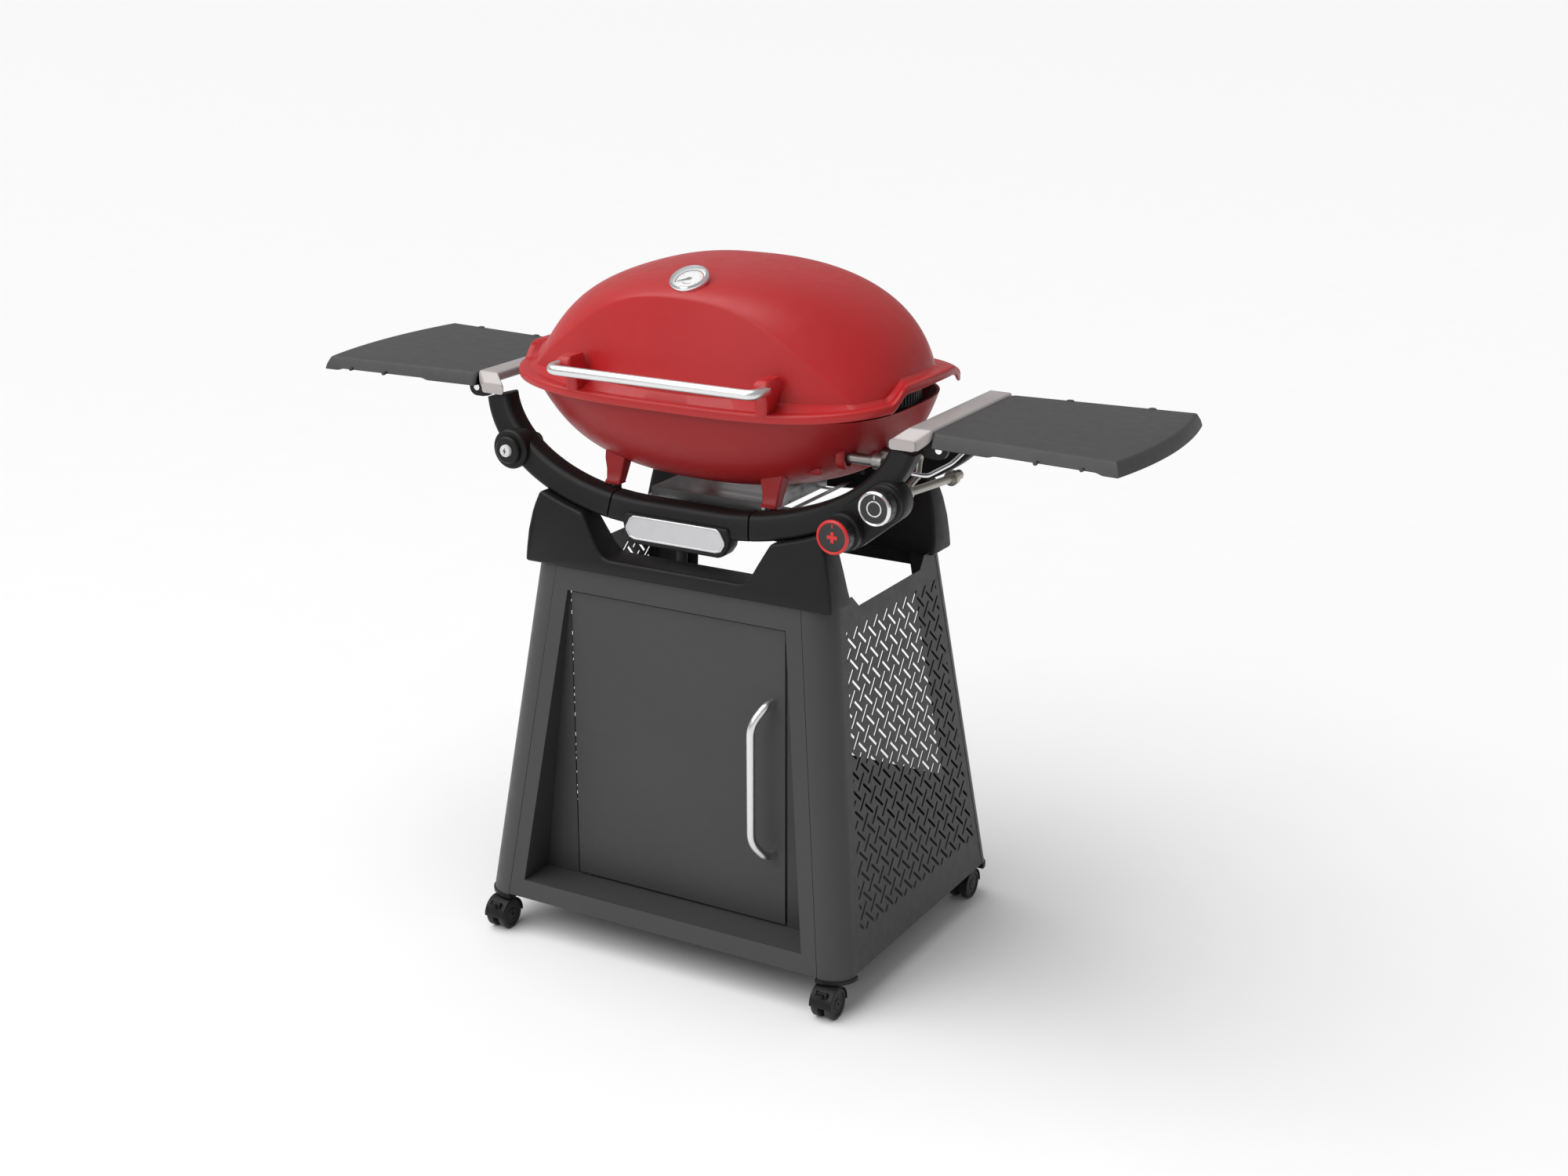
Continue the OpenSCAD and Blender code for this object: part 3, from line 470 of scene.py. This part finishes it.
# short ribs on the right side, under the feed tubes
for x0, x1, y0, z0, z1 in ((165, 206, -118, 768, 779), (216, 256, -34, 768, 777)):
    bowl.add(*block(x0, x1, y0, y0 + 6, z0, z1, 2))
# collars round the feed tubes
for cy, cz, x0 in ((-104, 797, 232), (-50, 794, 256)):
    bowl.add(*lathe([(13, 0), (19, 0), (19, 10), (17.5, 12), (13, 12), (13, 0)], (x0, cy, cz), (1, 0, 0),
                    40, caps=False))
# the bowl wears the darker red copy, painted shade under the lid flange
finish_piece("bowl_casting", bowl, [SHADED_BOWL_RED], "cart", ["cookbox"], angle=45)

# ---------- cradle rails ----------
RX0, RA, RB, RZ, RW, RT = 60.0, 285.0, 162.0, 850.0, 39.0, 36.0


def rail_point(s):
    """Centreline point and outward normal at signed arc parameter s; |s| <= RX0 is straight."""
    sg = 1 if s >= 0 else -1
    a = abs(s)
    if a <= RX0:
        return sg * a, RZ - RB, 0.0, -1.0
    t = math.radians(a - RX0)
    x, z = RX0 + RA * math.sin(t), RZ - RB * math.cos(t)
    nx, nz = math.sin(t) / RA, -math.cos(t) / RB
    l = math.hypot(nx, nz)
    return sg * x, z, sg * nx / l, nz / l


def rail_s(x):
    a = abs(x)
    s = a if a <= RX0 else RX0 + math.degrees(math.asin((a - RX0) / RA))
    return math.copysign(s, x)


def rail_section(s):
    """Rounded section of a rail at s, cut level under the strips."""
    x, z, nx, nz = rail_point(s)
    out = []
    for w, d in rounded_rect(-RW / 2, RW / 2, 0, RT, 9, 5):
        px, pz = x + nx * w, z + nz * w
        if pz > 828:
            pz = 828.0
        out.append((px, -178 + 0.24 * (pz - 660) + d, pz))
    return out


def rail(s0, s1, n):
    return loft([rail_section(s0 + (s1 - s0) * i / n) for i in range(n + 1)])


END = RX0 + math.degrees(math.acos((RZ - 828 + 3) / RB))
S_CUT = rail_s(117)


def foot_boss(s):
    return lathe([(9, 0), (9, 12.4), (7.8, 14.0)], (s * 133, -131, 702), (0, 0, 1), 32)


sh = Shape().add(*rail(-END, -S_CUT - 0.6, 40)).add(*foot_boss(-1))
# igniter boss and its half-round housing
sh.add(*lathe([(9.6, 0), (18.5, 0), (21, 2.2), (21, 24), (9.6, 24), (9.6, 0)], (-300, -173, 752), (0, 1, 0),
              56, caps=False))
sh.add(*lathe([(9.6, 0), (27.5, 0), (30, 2.5), (30, 29), (28, 31), (9.6, 31), (9.6, 0)],
              (-300, -165.5, 752), (0, 1, 0), 64,
              caps=False))
finish_piece("rail_left_moulding", sh, [BLACK], "cart", ["rail_left"], angle=40)

sh = Shape().add(*rail(S_CUT + 0.6, END, 40)).add(*foot_boss(1))
KNOBS = {"knob_small": (270.0, 709.0, -178.0), "knob_main": (328.0, 755.0, -167.0)}
(ax, az, _), (bx, bz, _) = KNOBS["knob_small"], KNOBS["knob_main"]
ang = math.atan2(bz - az, bx - ax)
pod = []
for k in range(25):
    t = ang + math.pi / 2 + math.pi * k / 24
    pod.append((ax + 30 * math.cos(t), az + 30 * math.sin(t)))
for k in range(25):
    t = ang - math.pi / 2 + math.pi * k / 24
    pod.append((bx + 30 * math.cos(t), bz + 30 * math.sin(t)))
pod_rings = []
for y, g in ((-160, 4), (-158.8, 1.4), (-156, 0), (-131, 0), (-128.6, 1.6), (-128, 4)):
    pod_rings.append([])
    for k, (x, z) in enumerate(pod):
        c = (ax, az) if k < 25 else (bx, bz)
        pod_rings[-1].append((c[0] + (x - c[0]) * (30 - g) / 30, y, c[1] + (z - c[1]) * (30 - g) / 30))
sh.add(*loft(pod_rings))
for x, z, y in KNOBS.values():
    sh.add(*lathe([(9, 0), (25.5, 0), (28, 2), (28, 24), (9, 24), (9, 0)], (x, y + 1, z), (0, 1, 0), 64,
                  caps=False))
finish_piece("rail_right_moulding", sh, [BLACK], "cart", ["rail_right"], angle=40)

sh = Shape().add(*rail(-S_CUT, S_CUT, 30))
bulge = [(-88, 657), (-80, 645), (-70, 641.5), (70, 641.5), (80, 645), (88, 657), (91.5, 672), (88, 688),
         (-88, 688), (-91.5, 672)]
bv, bf = prism_xz(bulge, lambda z: -177.8, lambda z: -147)
part = Shape().add(bv, bf)
finish_piece("rail_centre_bulge", part, [BLACK], "cart", (), bevel=5)
finish_piece("rail_centre_moulding", sh, [BLACK], "cart", ["rail_centre"], angle=40)

sh = Shape().add(*mirror_y(*rail(-END, END, 90)))
for s in (-1, 1):
    sh.add(*mirror_y(*foot_boss(s)))
finish_piece("rail_rear_moulding", sh, [BLACK], "cart", ["rail_rear"], angle=40)

# badge: blank plate with a raised rim
plate = [(-70, 686), (70, 686), (77, 682), (84, 669), (84, 663), (78, 653), (70, 650), (-70, 650),
         (-78, 653),
         (-84, 663), (-84, 669), (-77, 682)]


def inset(poly, g, cz=668.0):
    return [(x * (1 - g / 78), cz + (z - cz) * (1 - g / 18)) for x, z in poly]


br = []
for y, g in ((-177.9, 0), (-179.8, 0), (-180.5, 0.7), (-180.5, 2.4), (-179.9, 2.9)):
    br.append([(x, y, z) for x, z in inset(plate, g)])
n = len(plate)
bv, bf = loft(br, caps=False)
badge = Shape().add(bv, bf).add([(x, -179.9, z) for x, z in inset(plate, 2.9)], [tuple(range(n))])
finish_piece("badge_plate", badge, [BADGE], "cart", ["badge"], angle=25)


# ---------- cart head mouldings ----------
def head_outline():
    edge = lambda x: 850 - 182.3 * math.sqrt(1 - ((x - 60) / 305.3) ** 2)
    right = [(262, 590), (260, 612), (256, 640), (250, 668), (246, 681), (240, 696)]
    right += [(x, edge(x)) for x in (236, 226, 214, 200, 186, 172, 160)]
    right += [(152, 664), (141, 645), (130, 626), (122, 616.5), (112, 613)]
    return right + [(-x, z) for x, z in reversed(right)]


def head_front(z):
    return float(np.interp(z, (590, 650, 716), (-188, -186, -176)))


def head_back(z):
    return float(np.interp(z, (590, 600, 620, 650, 690, 716), (-124, -128, -134, -138, -142, -146)))


hv, hf = prism_xz(head_outline(), head_front, head_back)
finish_piece("head_front_moulding", Shape().add(hv, hf), [BLACK], "cart", ["trim_front"],
             bevel=5)
finish_piece("head_rear_moulding", Shape().add(*mirror_y(hv, hf)), [BLACK], "cart", ["trim_rear"],
             bevel=5)


# ---------- silver strips ----------
def strip_section(y):
    k = float(step01((abs(y - MID_Y) - 129) / 18.5))
    k2 = max(0.0, (abs(y - MID_Y) - 129) / 19)
    x0, x1 = 344.5 + (325 - 344.5) * k, 382 + (364 - 382) * k
    z0, z1 = 843 + (828 - 843) * min(1, k2 * 1.5), 857 + (842 - 857) * k
    return [(x, y, z) for x, z in rounded_rect(x0, x1, z0, z1, 4.5, 5)]


ys = list(np.linspace(-143, -122, 14)) + list(np.linspace(-115, 125, 13)) + list(np.linspace(132, 153, 14))
sv, sf = loft([strip_section(y) for y in ys])
finish_piece("strip_right_cap", Shape().add(sv, sf), [STRIP], "cart", ["strip_right"],
             angle=50)
finish_piece("strip_left_cap", Shape().add(*mirror_x(sv, sf)), [STRIP], "cart", ["strip_left"],
             angle=50)


# ---------- side tables ----------
def table_outline(g):
    """Outline of a table drawn in by g, front edge first, with its bowed outer edge."""
    x0, x1 = 384.5, 677.7 - g
    yf = lambda x: -136 + g - (x - x0) * 0.068
    yb = lambda x: 145 - g + (x - x0) * 0.091
    c, R = x1 - 733, 733.0
    yo = [-154.5 + g + (324.0 - 2 * g) * i / 24 for i in range(25)]
    arc = [(c + math.sqrt(R * R - (y - 3) ** 2), y) for y in yo]
    front = [(x, yf(x)) for x in np.linspace(x0 + 3, arc[0][0] - 4, 60)]
    back = [(x, yb(x)) for x in np.linspace(arc[-1][0] - 4, x0 + 3, 40)]
    inner_e = [(x0, y) for y in np.linspace(142 - g, -133 + g, 16)]
    return front + arc + back + inner_e


def table_shape():
    """Shallow pressed tray turned upside down, with a sloping skirt and a shallow grip in its front."""
    big = table_outline(0)
    n = len(big)

    def low(x, y):
        if y > -120:
            return 834.0
        return 834 + 3 * float(step01((x - 470) / 12) * step01((640 - x) / 12))

    def ring(g, z, up=0.0):
        return [(x, y, low(bx, by) + up if z is None else z) for (x, y),
                (bx, by) in zip(table_outline(g), big)]

    under = [ring(3.5, None, 0.2), ring(6.5, 846), ring(11.5, 850)]
    over = [ring(1.0, None), ring(0.0, None, 1.0), ring(2.5, 843), ring(6.5, 850.2), ring(8.0, 852.6),
            ring(9.8, 853.7),
            ring(12.0, 854)]
    v, f = loft(list(reversed(under)) + over, caps=False)
    f.append(tuple(range(n - 1, -1, -1)))
    f.append(tuple((len(under) + len(over) - 1) * n + i for i in range(n)))
    return v, f


tv, tf = table_shape()
for side, s in (("left", -1), ("right", 1)):
    sh = Shape().add(*(mirror_x(tv, tf) if s < 0 else (tv, tf)))
    extra = []
    for y in (-112, 112):
        extra.append(lathe([(3.2, 0), (6.8, 0), (7.5, 0.7), (7.5, 9.3), (6.8, 10), (3.2, 10), (3.2, 0)],
                           (390, y, 829),
                           (0, 1, 0), 36, caps=False))
        extra.append(block(387.2, 397, y + 0.3, y + 9.7, 833, 851, 1.5))
    for x in (460, 560):
        extra.append(block(x, x + 3, -128, 132, 841, 851, 0.8))
    for x in (545, 610):
        extra.append(lathe([(2.4, 0), (3.0, 0.8), (3.0, 5), (2.2, 6), (2.2, 26)], (x, -155.8, 839),
                           (0, 1, 0), 24))
    for x in (470, 590):
        extra.append(lathe([(6, 0), (5.4, 1.6), (3.4, 2.2)], (x, 145 + (x - 384.5) * 0.091 - 11, 853.0),
                           (0, 0, 1), 28))
    for ev, ef in extra:
        sh.add(*(mirror_x(ev, ef) if s < 0 else (ev, ef)))
    finish_piece(f"table_{side}_top", sh, [TABLE], f"table_{side}", [f"table_{side}"],
                 angle=40)

# curved lugs that the tables fold about
for s in (-1, 1):
    for back in (False, True):
        lug = [(352, 842.8), (352, 834), (358, 826), (368, 818), (379, 816)]
        lug += [(390 + 13 * math.cos(math.radians(a)),
                 829 + 13 * math.sin(math.radians(a))) for a in range(-90, 75, 12)]
        lug += [(390, 842.8)]
        lv, lf = prism_xz(lug, lambda z: -122.4, lambda z: -114.6)
        shp = Shape().add(lv, lf)
        rv, rf = lathe([(2.2, 0), (2.98, 0.8), (2.98, 12)], (390, -102.6, 829), (0, -1, 0), 24)
        shp.add(rv, rf, 1)
        hv2, hf2 = lathe([(5, 0), (5, 0.05), (3.6, 0.1)], (390, -122.38, 829), (0, -1, 0), 24)
        shp.add(hv2, hf2, 1)
        if s < 0:
            shp.v = [(-p[0], p[1], p[2]) for p in shp.v]
        if back:
            shp.v = [(p[0], 2 * MID_Y - p[1], p[2]) for p in shp.v]
        name = f"table_lug_{'left' if s < 0 else 'right'}_{'rear' if back else 'front'}"
        finish_piece(name, shp, [BLACK, CHROME], "cart", ["table_brackets"], angle=30,
                     bevel=0.8)

# ---------- handles ----------
hp = smooth_path([(-169.5, -206, 904), (-169.5, -240, 903), (169.5, -240, 903), (169.5, -206, 904)], 17, 10)
finish_piece("lid_handle_tube", Shape().add(*tube(hp, 7.5, 32)), [STEEL], "lid", ["lid_handle"],
             angle=60)
dp = smooth_path([(163, -179.5, 441), (162, -198, 440), (147.5, -215.8, 414), (147.5, -215.8, 230),
                  (162, -198, 204),
                  (163, -179.5, 203)], 18, 10)
dh = Shape().add(*tube(dp, 6.5, 32))
finish_piece("door_handle_tube", dh, [STEEL_Z], "door", ["door_handle"], angle=60)

# ---------- thermometer ----------
tilt = math.radians(27)
GA = np.array((0, -math.sin(tilt), math.cos(tilt)))
GU = np.array((0, math.cos(tilt), math.sin(tilt)))
GO = np.array((0.0, -128.0, 1026.0))


def on_dial(a, r, h):
    """Point at clock angle a (degrees, clockwise from the top) on the gauge."""
    t = math.radians(a)
    return GO + GU * r * math.cos(t) + np.array((1, 0, 0)) * r * math.sin(t) + GA * h


sh = Shape().add(*lathe([(7, -12), (12, -9), (27, -2), (29, 0.5), (29, 5), (28.2, 7.6), (26.6, 8.9),
                         (25.3, 8.9), (24.8, 8),
                         (24.8, 3.4), (0.5, 3.4)], GO, GA, 96))
finish_piece("thermometer_bezel", sh, [CHROME], "lid", ["thermometer_case"], angle=35)
sh = Shape().add(*lathe([(24.6, 3.4), (24.6, 4.0), (1.8, 4.0), (1.8, 3.4)], GO, GA, 96))


def sector(a0, a1, r0, r1, h, mat, steps=24):
    vs, fs = [], []
    for i in range(steps + 1):
        a = a0 + (a1 - a0) * i / steps
        vs += [on_dial(a, r0, h), on_dial(a, r1, h)]
    for i in range(steps):
        fs.append((2 * i, 2 * i + 1, 2 * i + 3, 2 * i + 2))
    sh.add(vs, fs, mat)


sector(-120, 30, 19.5, 21.5, 4.15, 1)
sector(30, 120, 19.5, 21.5, 4.15, 2)
for k in range(17):
    a = -120 + 15 * k
    sector(a - 0.9, a + 0.9, 14.5 if k % 4 == 0 else 16.5, 18.6, 4.15, 1, 1)
for k in range(-5, 6):
    sector(180 + k * 7 - 2, 180 + k * 7 + 2, 10, 12, 4.15, 2 if abs(k) < 3 else 1, 1)
finish_piece("thermometer_face", sh, [DIAL, INK, ROUGE], "lid", ["thermometer_dial"], angle=35)
sh = Shape().add(*lathe([(24.7, 6.8), (24.7, 7.6), (16, 8.1), (8, 8.4), (0.4, 8.5), (0.4, 8.1), (10, 7.9),
                         (24, 6.8)], GO, GA, 64))
finish_piece("thermometer_lens", sh, [GLASS], "lid", ["thermometer_glass"], angle=60)
nv = [on_dial(a, r, h) for h in (4.9, 5.7) for a, r in ((-120, 18), (-40, 1.5), (60, 5), (160, 1.5))]
sh = Shape().add(nv, [(0, 1, 2, 3), (7, 6, 5, 4), (0, 4, 5, 1), (1, 5, 6, 2), (2, 6, 7, 3), (3, 7, 4, 0)])
sh.add(*lathe([(2.2, 4.6), (2.2, 6.0), (1.6, 6.3)], GO, GA, 24))
finish_piece("thermometer_hand", sh, [INK], "needle", ["thermometer_needle"], angle=40)


# ---------- knobs ----------
def flat_mark(poly, y, depth, x0, z0):
    """Thin raised mark on a knob's face, from a flat X-Z polygon."""
    n = len(poly)
    v = [(x0 + x, y, z0 + z) for x, z in poly] + [(x0 + x, y + depth, z0 + z) for x, z in poly]
    f = [tuple(range(n)), tuple(range(2 * n - 1, n - 1, -1))] + [(i, i + n, (i + 1) % n + n,
                                                                  (i + 1) % n) for i in range(n)]
    return v, f


def knob(name, ring_mat):
    """Fluted knob with a bright ring, a plain mark and a pointer."""
    x, z, y0 = KNOBS[name]
    sh = Shape()
    body_profile = [(4, -1), (20, -1), (24.2, 0.6), (25, 3), (25, 17), (24.6, 19.5), (24.2, 20.2)]
    ring_profile = [(24.2, 20.2), (24.9, 21.0), (24.6, 23.2), (23.2, 24.6), (21.9, 24.9), (20.9, 24.4),
                    (20.4, 23.4)]
    face_profile = [(20.4, 23.4), (18.5, 23.0), (0.3, 22.8)]
    sh.add(*lathe(body_profile, (x, y0, z), (0, -1, 0), 72, caps=False), 0)
    sh.add(*lathe(ring_profile, (x, y0, z), (0, -1, 0), 72, caps=False), 1)
    sh.add(*lathe(face_profile, (x, y0, z), (0, -1, 0), 72, caps=False), 0)
    sh.add(*lathe([(4, -1), (4, -50)], (x, y0, z), (0, -1, 0), 24, caps=False), 0)
    # grip flutes round the side
    for k in range(18):
        t = math.radians(20 * k + 10)
        c = np.array((x + 24.6 * math.cos(t), 0, z + 24.6 * math.sin(t)))
        sh.add(*tube([(c[0], y0 - 4, c[2]), (c[0], y0 - 18, c[2])], 0.8, 8), 0)
    yf = y0 - 23.15
    if name == "knob_small":
        a, b = 2.6, 8.0
        plus = [(-a, -b), (a, -b), (a, -a), (b, -a), (b, a), (a, a), (a, b), (-a, b), (-a, a), (-b, a),
                (-b, -a), (-a, -a)]
        sh.add(*flat_mark(plus, yf - 0.4, 0.6, x, z), 2)
    else:
        r0, r1 = 9.6, 11.4
        for k in range(48):
            t0, t1 = 2 * math.pi * k / 48, 2 * math.pi * (k + 1) / 48
            piece = [(r0 * math.cos(t0), r0 * math.sin(t0)), (r1 * math.cos(t0), r1 * math.sin(t0)),
                     (r1 * math.cos(t1), r1 * math.sin(t1)), (r0 * math.cos(t1), r0 * math.sin(t1))]
            sh.add(*flat_mark(piece, yf - 0.4, 0.6, x, z), 2)
    sh.add(*flat_mark([(-0.9, 13.4), (0.9, 13.4), (0.9, 19), (-0.9, 19)], yf - 0.4, 0.6, x, z), 2)
    finish_piece(name + "_cap", sh, [KNOB, ring_mat, ROUGE if name == "knob_small" else WHITE], name,
                 [name],
                 angle=35)


knob("knob_small", ROUGE)
knob("knob_main", CHROME)
# igniter push button with a plain dark spark mark
sh = Shape().add(*lathe([(5, 30), (5, 56), (0.5, 56)], (-300, -178, 752), (0, 1, 0), 24))
sh.add(*lathe([(0.4, 0.1), (7.2, 0.1), (8.6, 0.6), (9.3, 1.8), (9.3, 28), (5, 28)], (-300, -178, 752),
              (0, 1, 0), 48))
bolt = [(1.2, 5.4), (-3.0, -0.6), (-0.3, -0.6), (-1.2, -5.4), (3.0, 0.8), (0.3, 0.8)]
sh.add(*flat_mark(bolt, -178.3, 0.6, -300, 752), 1)
finish_piece("igniter_button_cap", sh, [WHITE, INK], "igniter_button", ["igniter_button"],
             angle=35)


# ---------- castors ----------
def castor_pieces(corner, sx, sy):
    """Wheel pair, hood with stem and, at the front, the brake lever of one corner."""
    x0, y0 = sx * 290.0, MID_Y + sy * 227.0
    ya, za, r = y0 - 18.0, 23.5, 23.5
    sh = Shape()
    for s in (-1, 1):
        prof = [(3.2, 5), (20, 5), (22.6, 5.6), (23.5, 7), (23.5, 15), (22.4, 16.4), (20, 17), (18.2, 17),
                (17.6, 15.6),
                (9, 15), (7.5, 16.6), (2.0, 17)]
        sh.add(*lathe(prof, (x0, ya, za), (s, 0, 0), 72, caps=False))
        for k in range(5):
            t = math.radians(72 * k)
            c = (x0 + s * 15.2, ya + 13 * math.cos(t), za + 13 * math.sin(t))
            sh.add(*lathe([(2.6, 0), (2.0, 0.5)], c, (s, 0, 0), 14))
    sh.add(*lathe([(3, -15), (3, 15)], (x0, ya, za), (1, 0, 0), 24))
    finish_piece(f"wheels_{corner}_pair", sh, [WHEEL], f"wheels_{corner}", [f"wheels_{corner}"],
                 angle=35)
    hood = Shape()
    arcs = []
    for k in range(31):
        a = math.radians(-5 + 185 * k / 30)
        out_r = 26.4 if k not in (0, 30) else 25.6
        sec = rounded_rect(-17.8, 17.8, 24.3, out_r, 0.8, 3)
        arcs.append([(x0 + w, ya + d * math.cos(a), za + d * math.sin(a)) for w, d in sec])
    hood.add(*loft(arcs))
    hood.add(*lathe([(3.15, -4.3), (11.4, -4.3), (12, -3.7), (12, 3.7), (11.4, 4.3), (3.15, 4.3)],
                    (x0, ya, za), (1, 0, 0), 40,
                    caps=False))
    hood.add(*block(x0 - 4.3, x0 + 4.3, ya, y0 + 5, za + 1, za + 22, 1))
    hood.add(*lathe([(9, -11), (9, 1.4), (8, 3.4), (4, 4), (4, 40)], (x0, y0, 48 - 3.6), (0, 0, 1), 40))
    if sy < 0:
        for s in (-1, 1):
            lug = lathe([(1.6, 0), (4.2, 0), (4.5, 0.4), (4.5, 2.6), (4.2, 3), (1.6, 3)],
                        (x0 + (6.6 if s > 0 else -9.6), ya - 20, za + 20),
                        (1, 0, 0), 24, caps=False)
            hood.add(*lug)
    finish_piece(f"castor_{corner}_hood", hood, [BLACK], f"castor_{corner}", [f"castor_{corner}"],
                 angle=35)
    if sy < 0:
        side = "left" if sx < 0 else "right"
        yb, zb = ya - 20.0, za + 20.0
        br = Shape().add(*lathe([(1.5, -9.4), (1.5, -6), (3.3, -5.9), (3.5, -5), (3.5, 5), (3.3, 5.9),
                                 (1.5, 6), (1.5, 9.4)],
                                (x0, yb, zb), (1, 0, 0), 28))
        tongue = []
        for d, z0, z1, w in ((0, -1.6, 2.4, 5.6), (5, -1.2, 2.6, 5.8), (8.4, -0.9, 2.7, 5.6),
                             (9.8, -0.2, 2.3, 4.8)):
            tongue.append([(x0 + a, yb - d, zb + b) for a, b in rounded_rect(-w, w, z0, z1, 1.0, 3)])
        br.add(*loft(tongue))
        finish_piece(f"brake_{side}_lever", br, [BLACK], f"brake_{side}", [f"brake_{side}"],
                     angle=35)


for corner, sx, sy in (("front_left", -1, -1), ("front_right", 1, -1), ("rear_left", -1, 1),
                       ("rear_right", 1, 1)):
    castor_pieces(corner, sx, sy)

# ---------- wire hook -------------------------
hk = smooth_path([(330, 60, 800), (352, 60, 790), (352, 0, 778), (352, -80, 778), (336, -96, 784)], 12, 8)
finish_piece("hose_hook_wire", Shape().add(*tube(hk, 3, 16)), [CHROME], "cart", ["hose_hook"],
             angle=60)

# ---------- floor and light ----------
fm = bpy.data.meshes.new("floor")
fm.from_pydata([(-80, -80, 0), (80, -80, 0), (80, 80, 0), (-80, 80, 0)], [], [(0, 1, 2, 3)])
fm.materials.append(material("floor_pale", (0.86, 0.86, 0.86), 0.7, grain=300, bump=0.01, mottle=0.004,
                             wear=0))
floor = bpy.data.objects.new("floor", fm)
bpy.context.scene.collection.objects.link(floor)

world = bpy.data.worlds.new("studio")
world.use_nodes = True
world.node_tree.nodes["Background"].inputs["Color"].default_value = (1, 1, 1, 1)
world.node_tree.nodes["Background"].inputs["Strength"].default_value = 0.42
bpy.context.scene.world = world
bpy.context.scene.view_settings.view_transform = "Standard"


def aim(obj, loc, target):
    v = np.array(target) - np.array(loc)
    obj.location = loc
    obj.rotation_euler = (math.acos(-v[2] / np.linalg.norm(v)), 0, math.atan2(v[1], v[0]) - math.pi / 2)
    bpy.context.scene.collection.objects.link(obj)


sun = bpy.data.lights.new("soft_top", "SUN")
sun.energy, sun.angle = 2.6, math.radians(70)
aim(bpy.data.objects.new("soft_top", sun), (-1.4, -1.2, 4.0), (0, 0, 0.6))
key = bpy.data.lights.new("soft_front", "AREA")
key.shape, key.size, key.energy = "DISK", 1.8, 18
aim(bpy.data.objects.new("soft_front", key), (-0.6, -3.0, 2.2), (0, 0, 0.8))

bpy.context.view_layer.update()
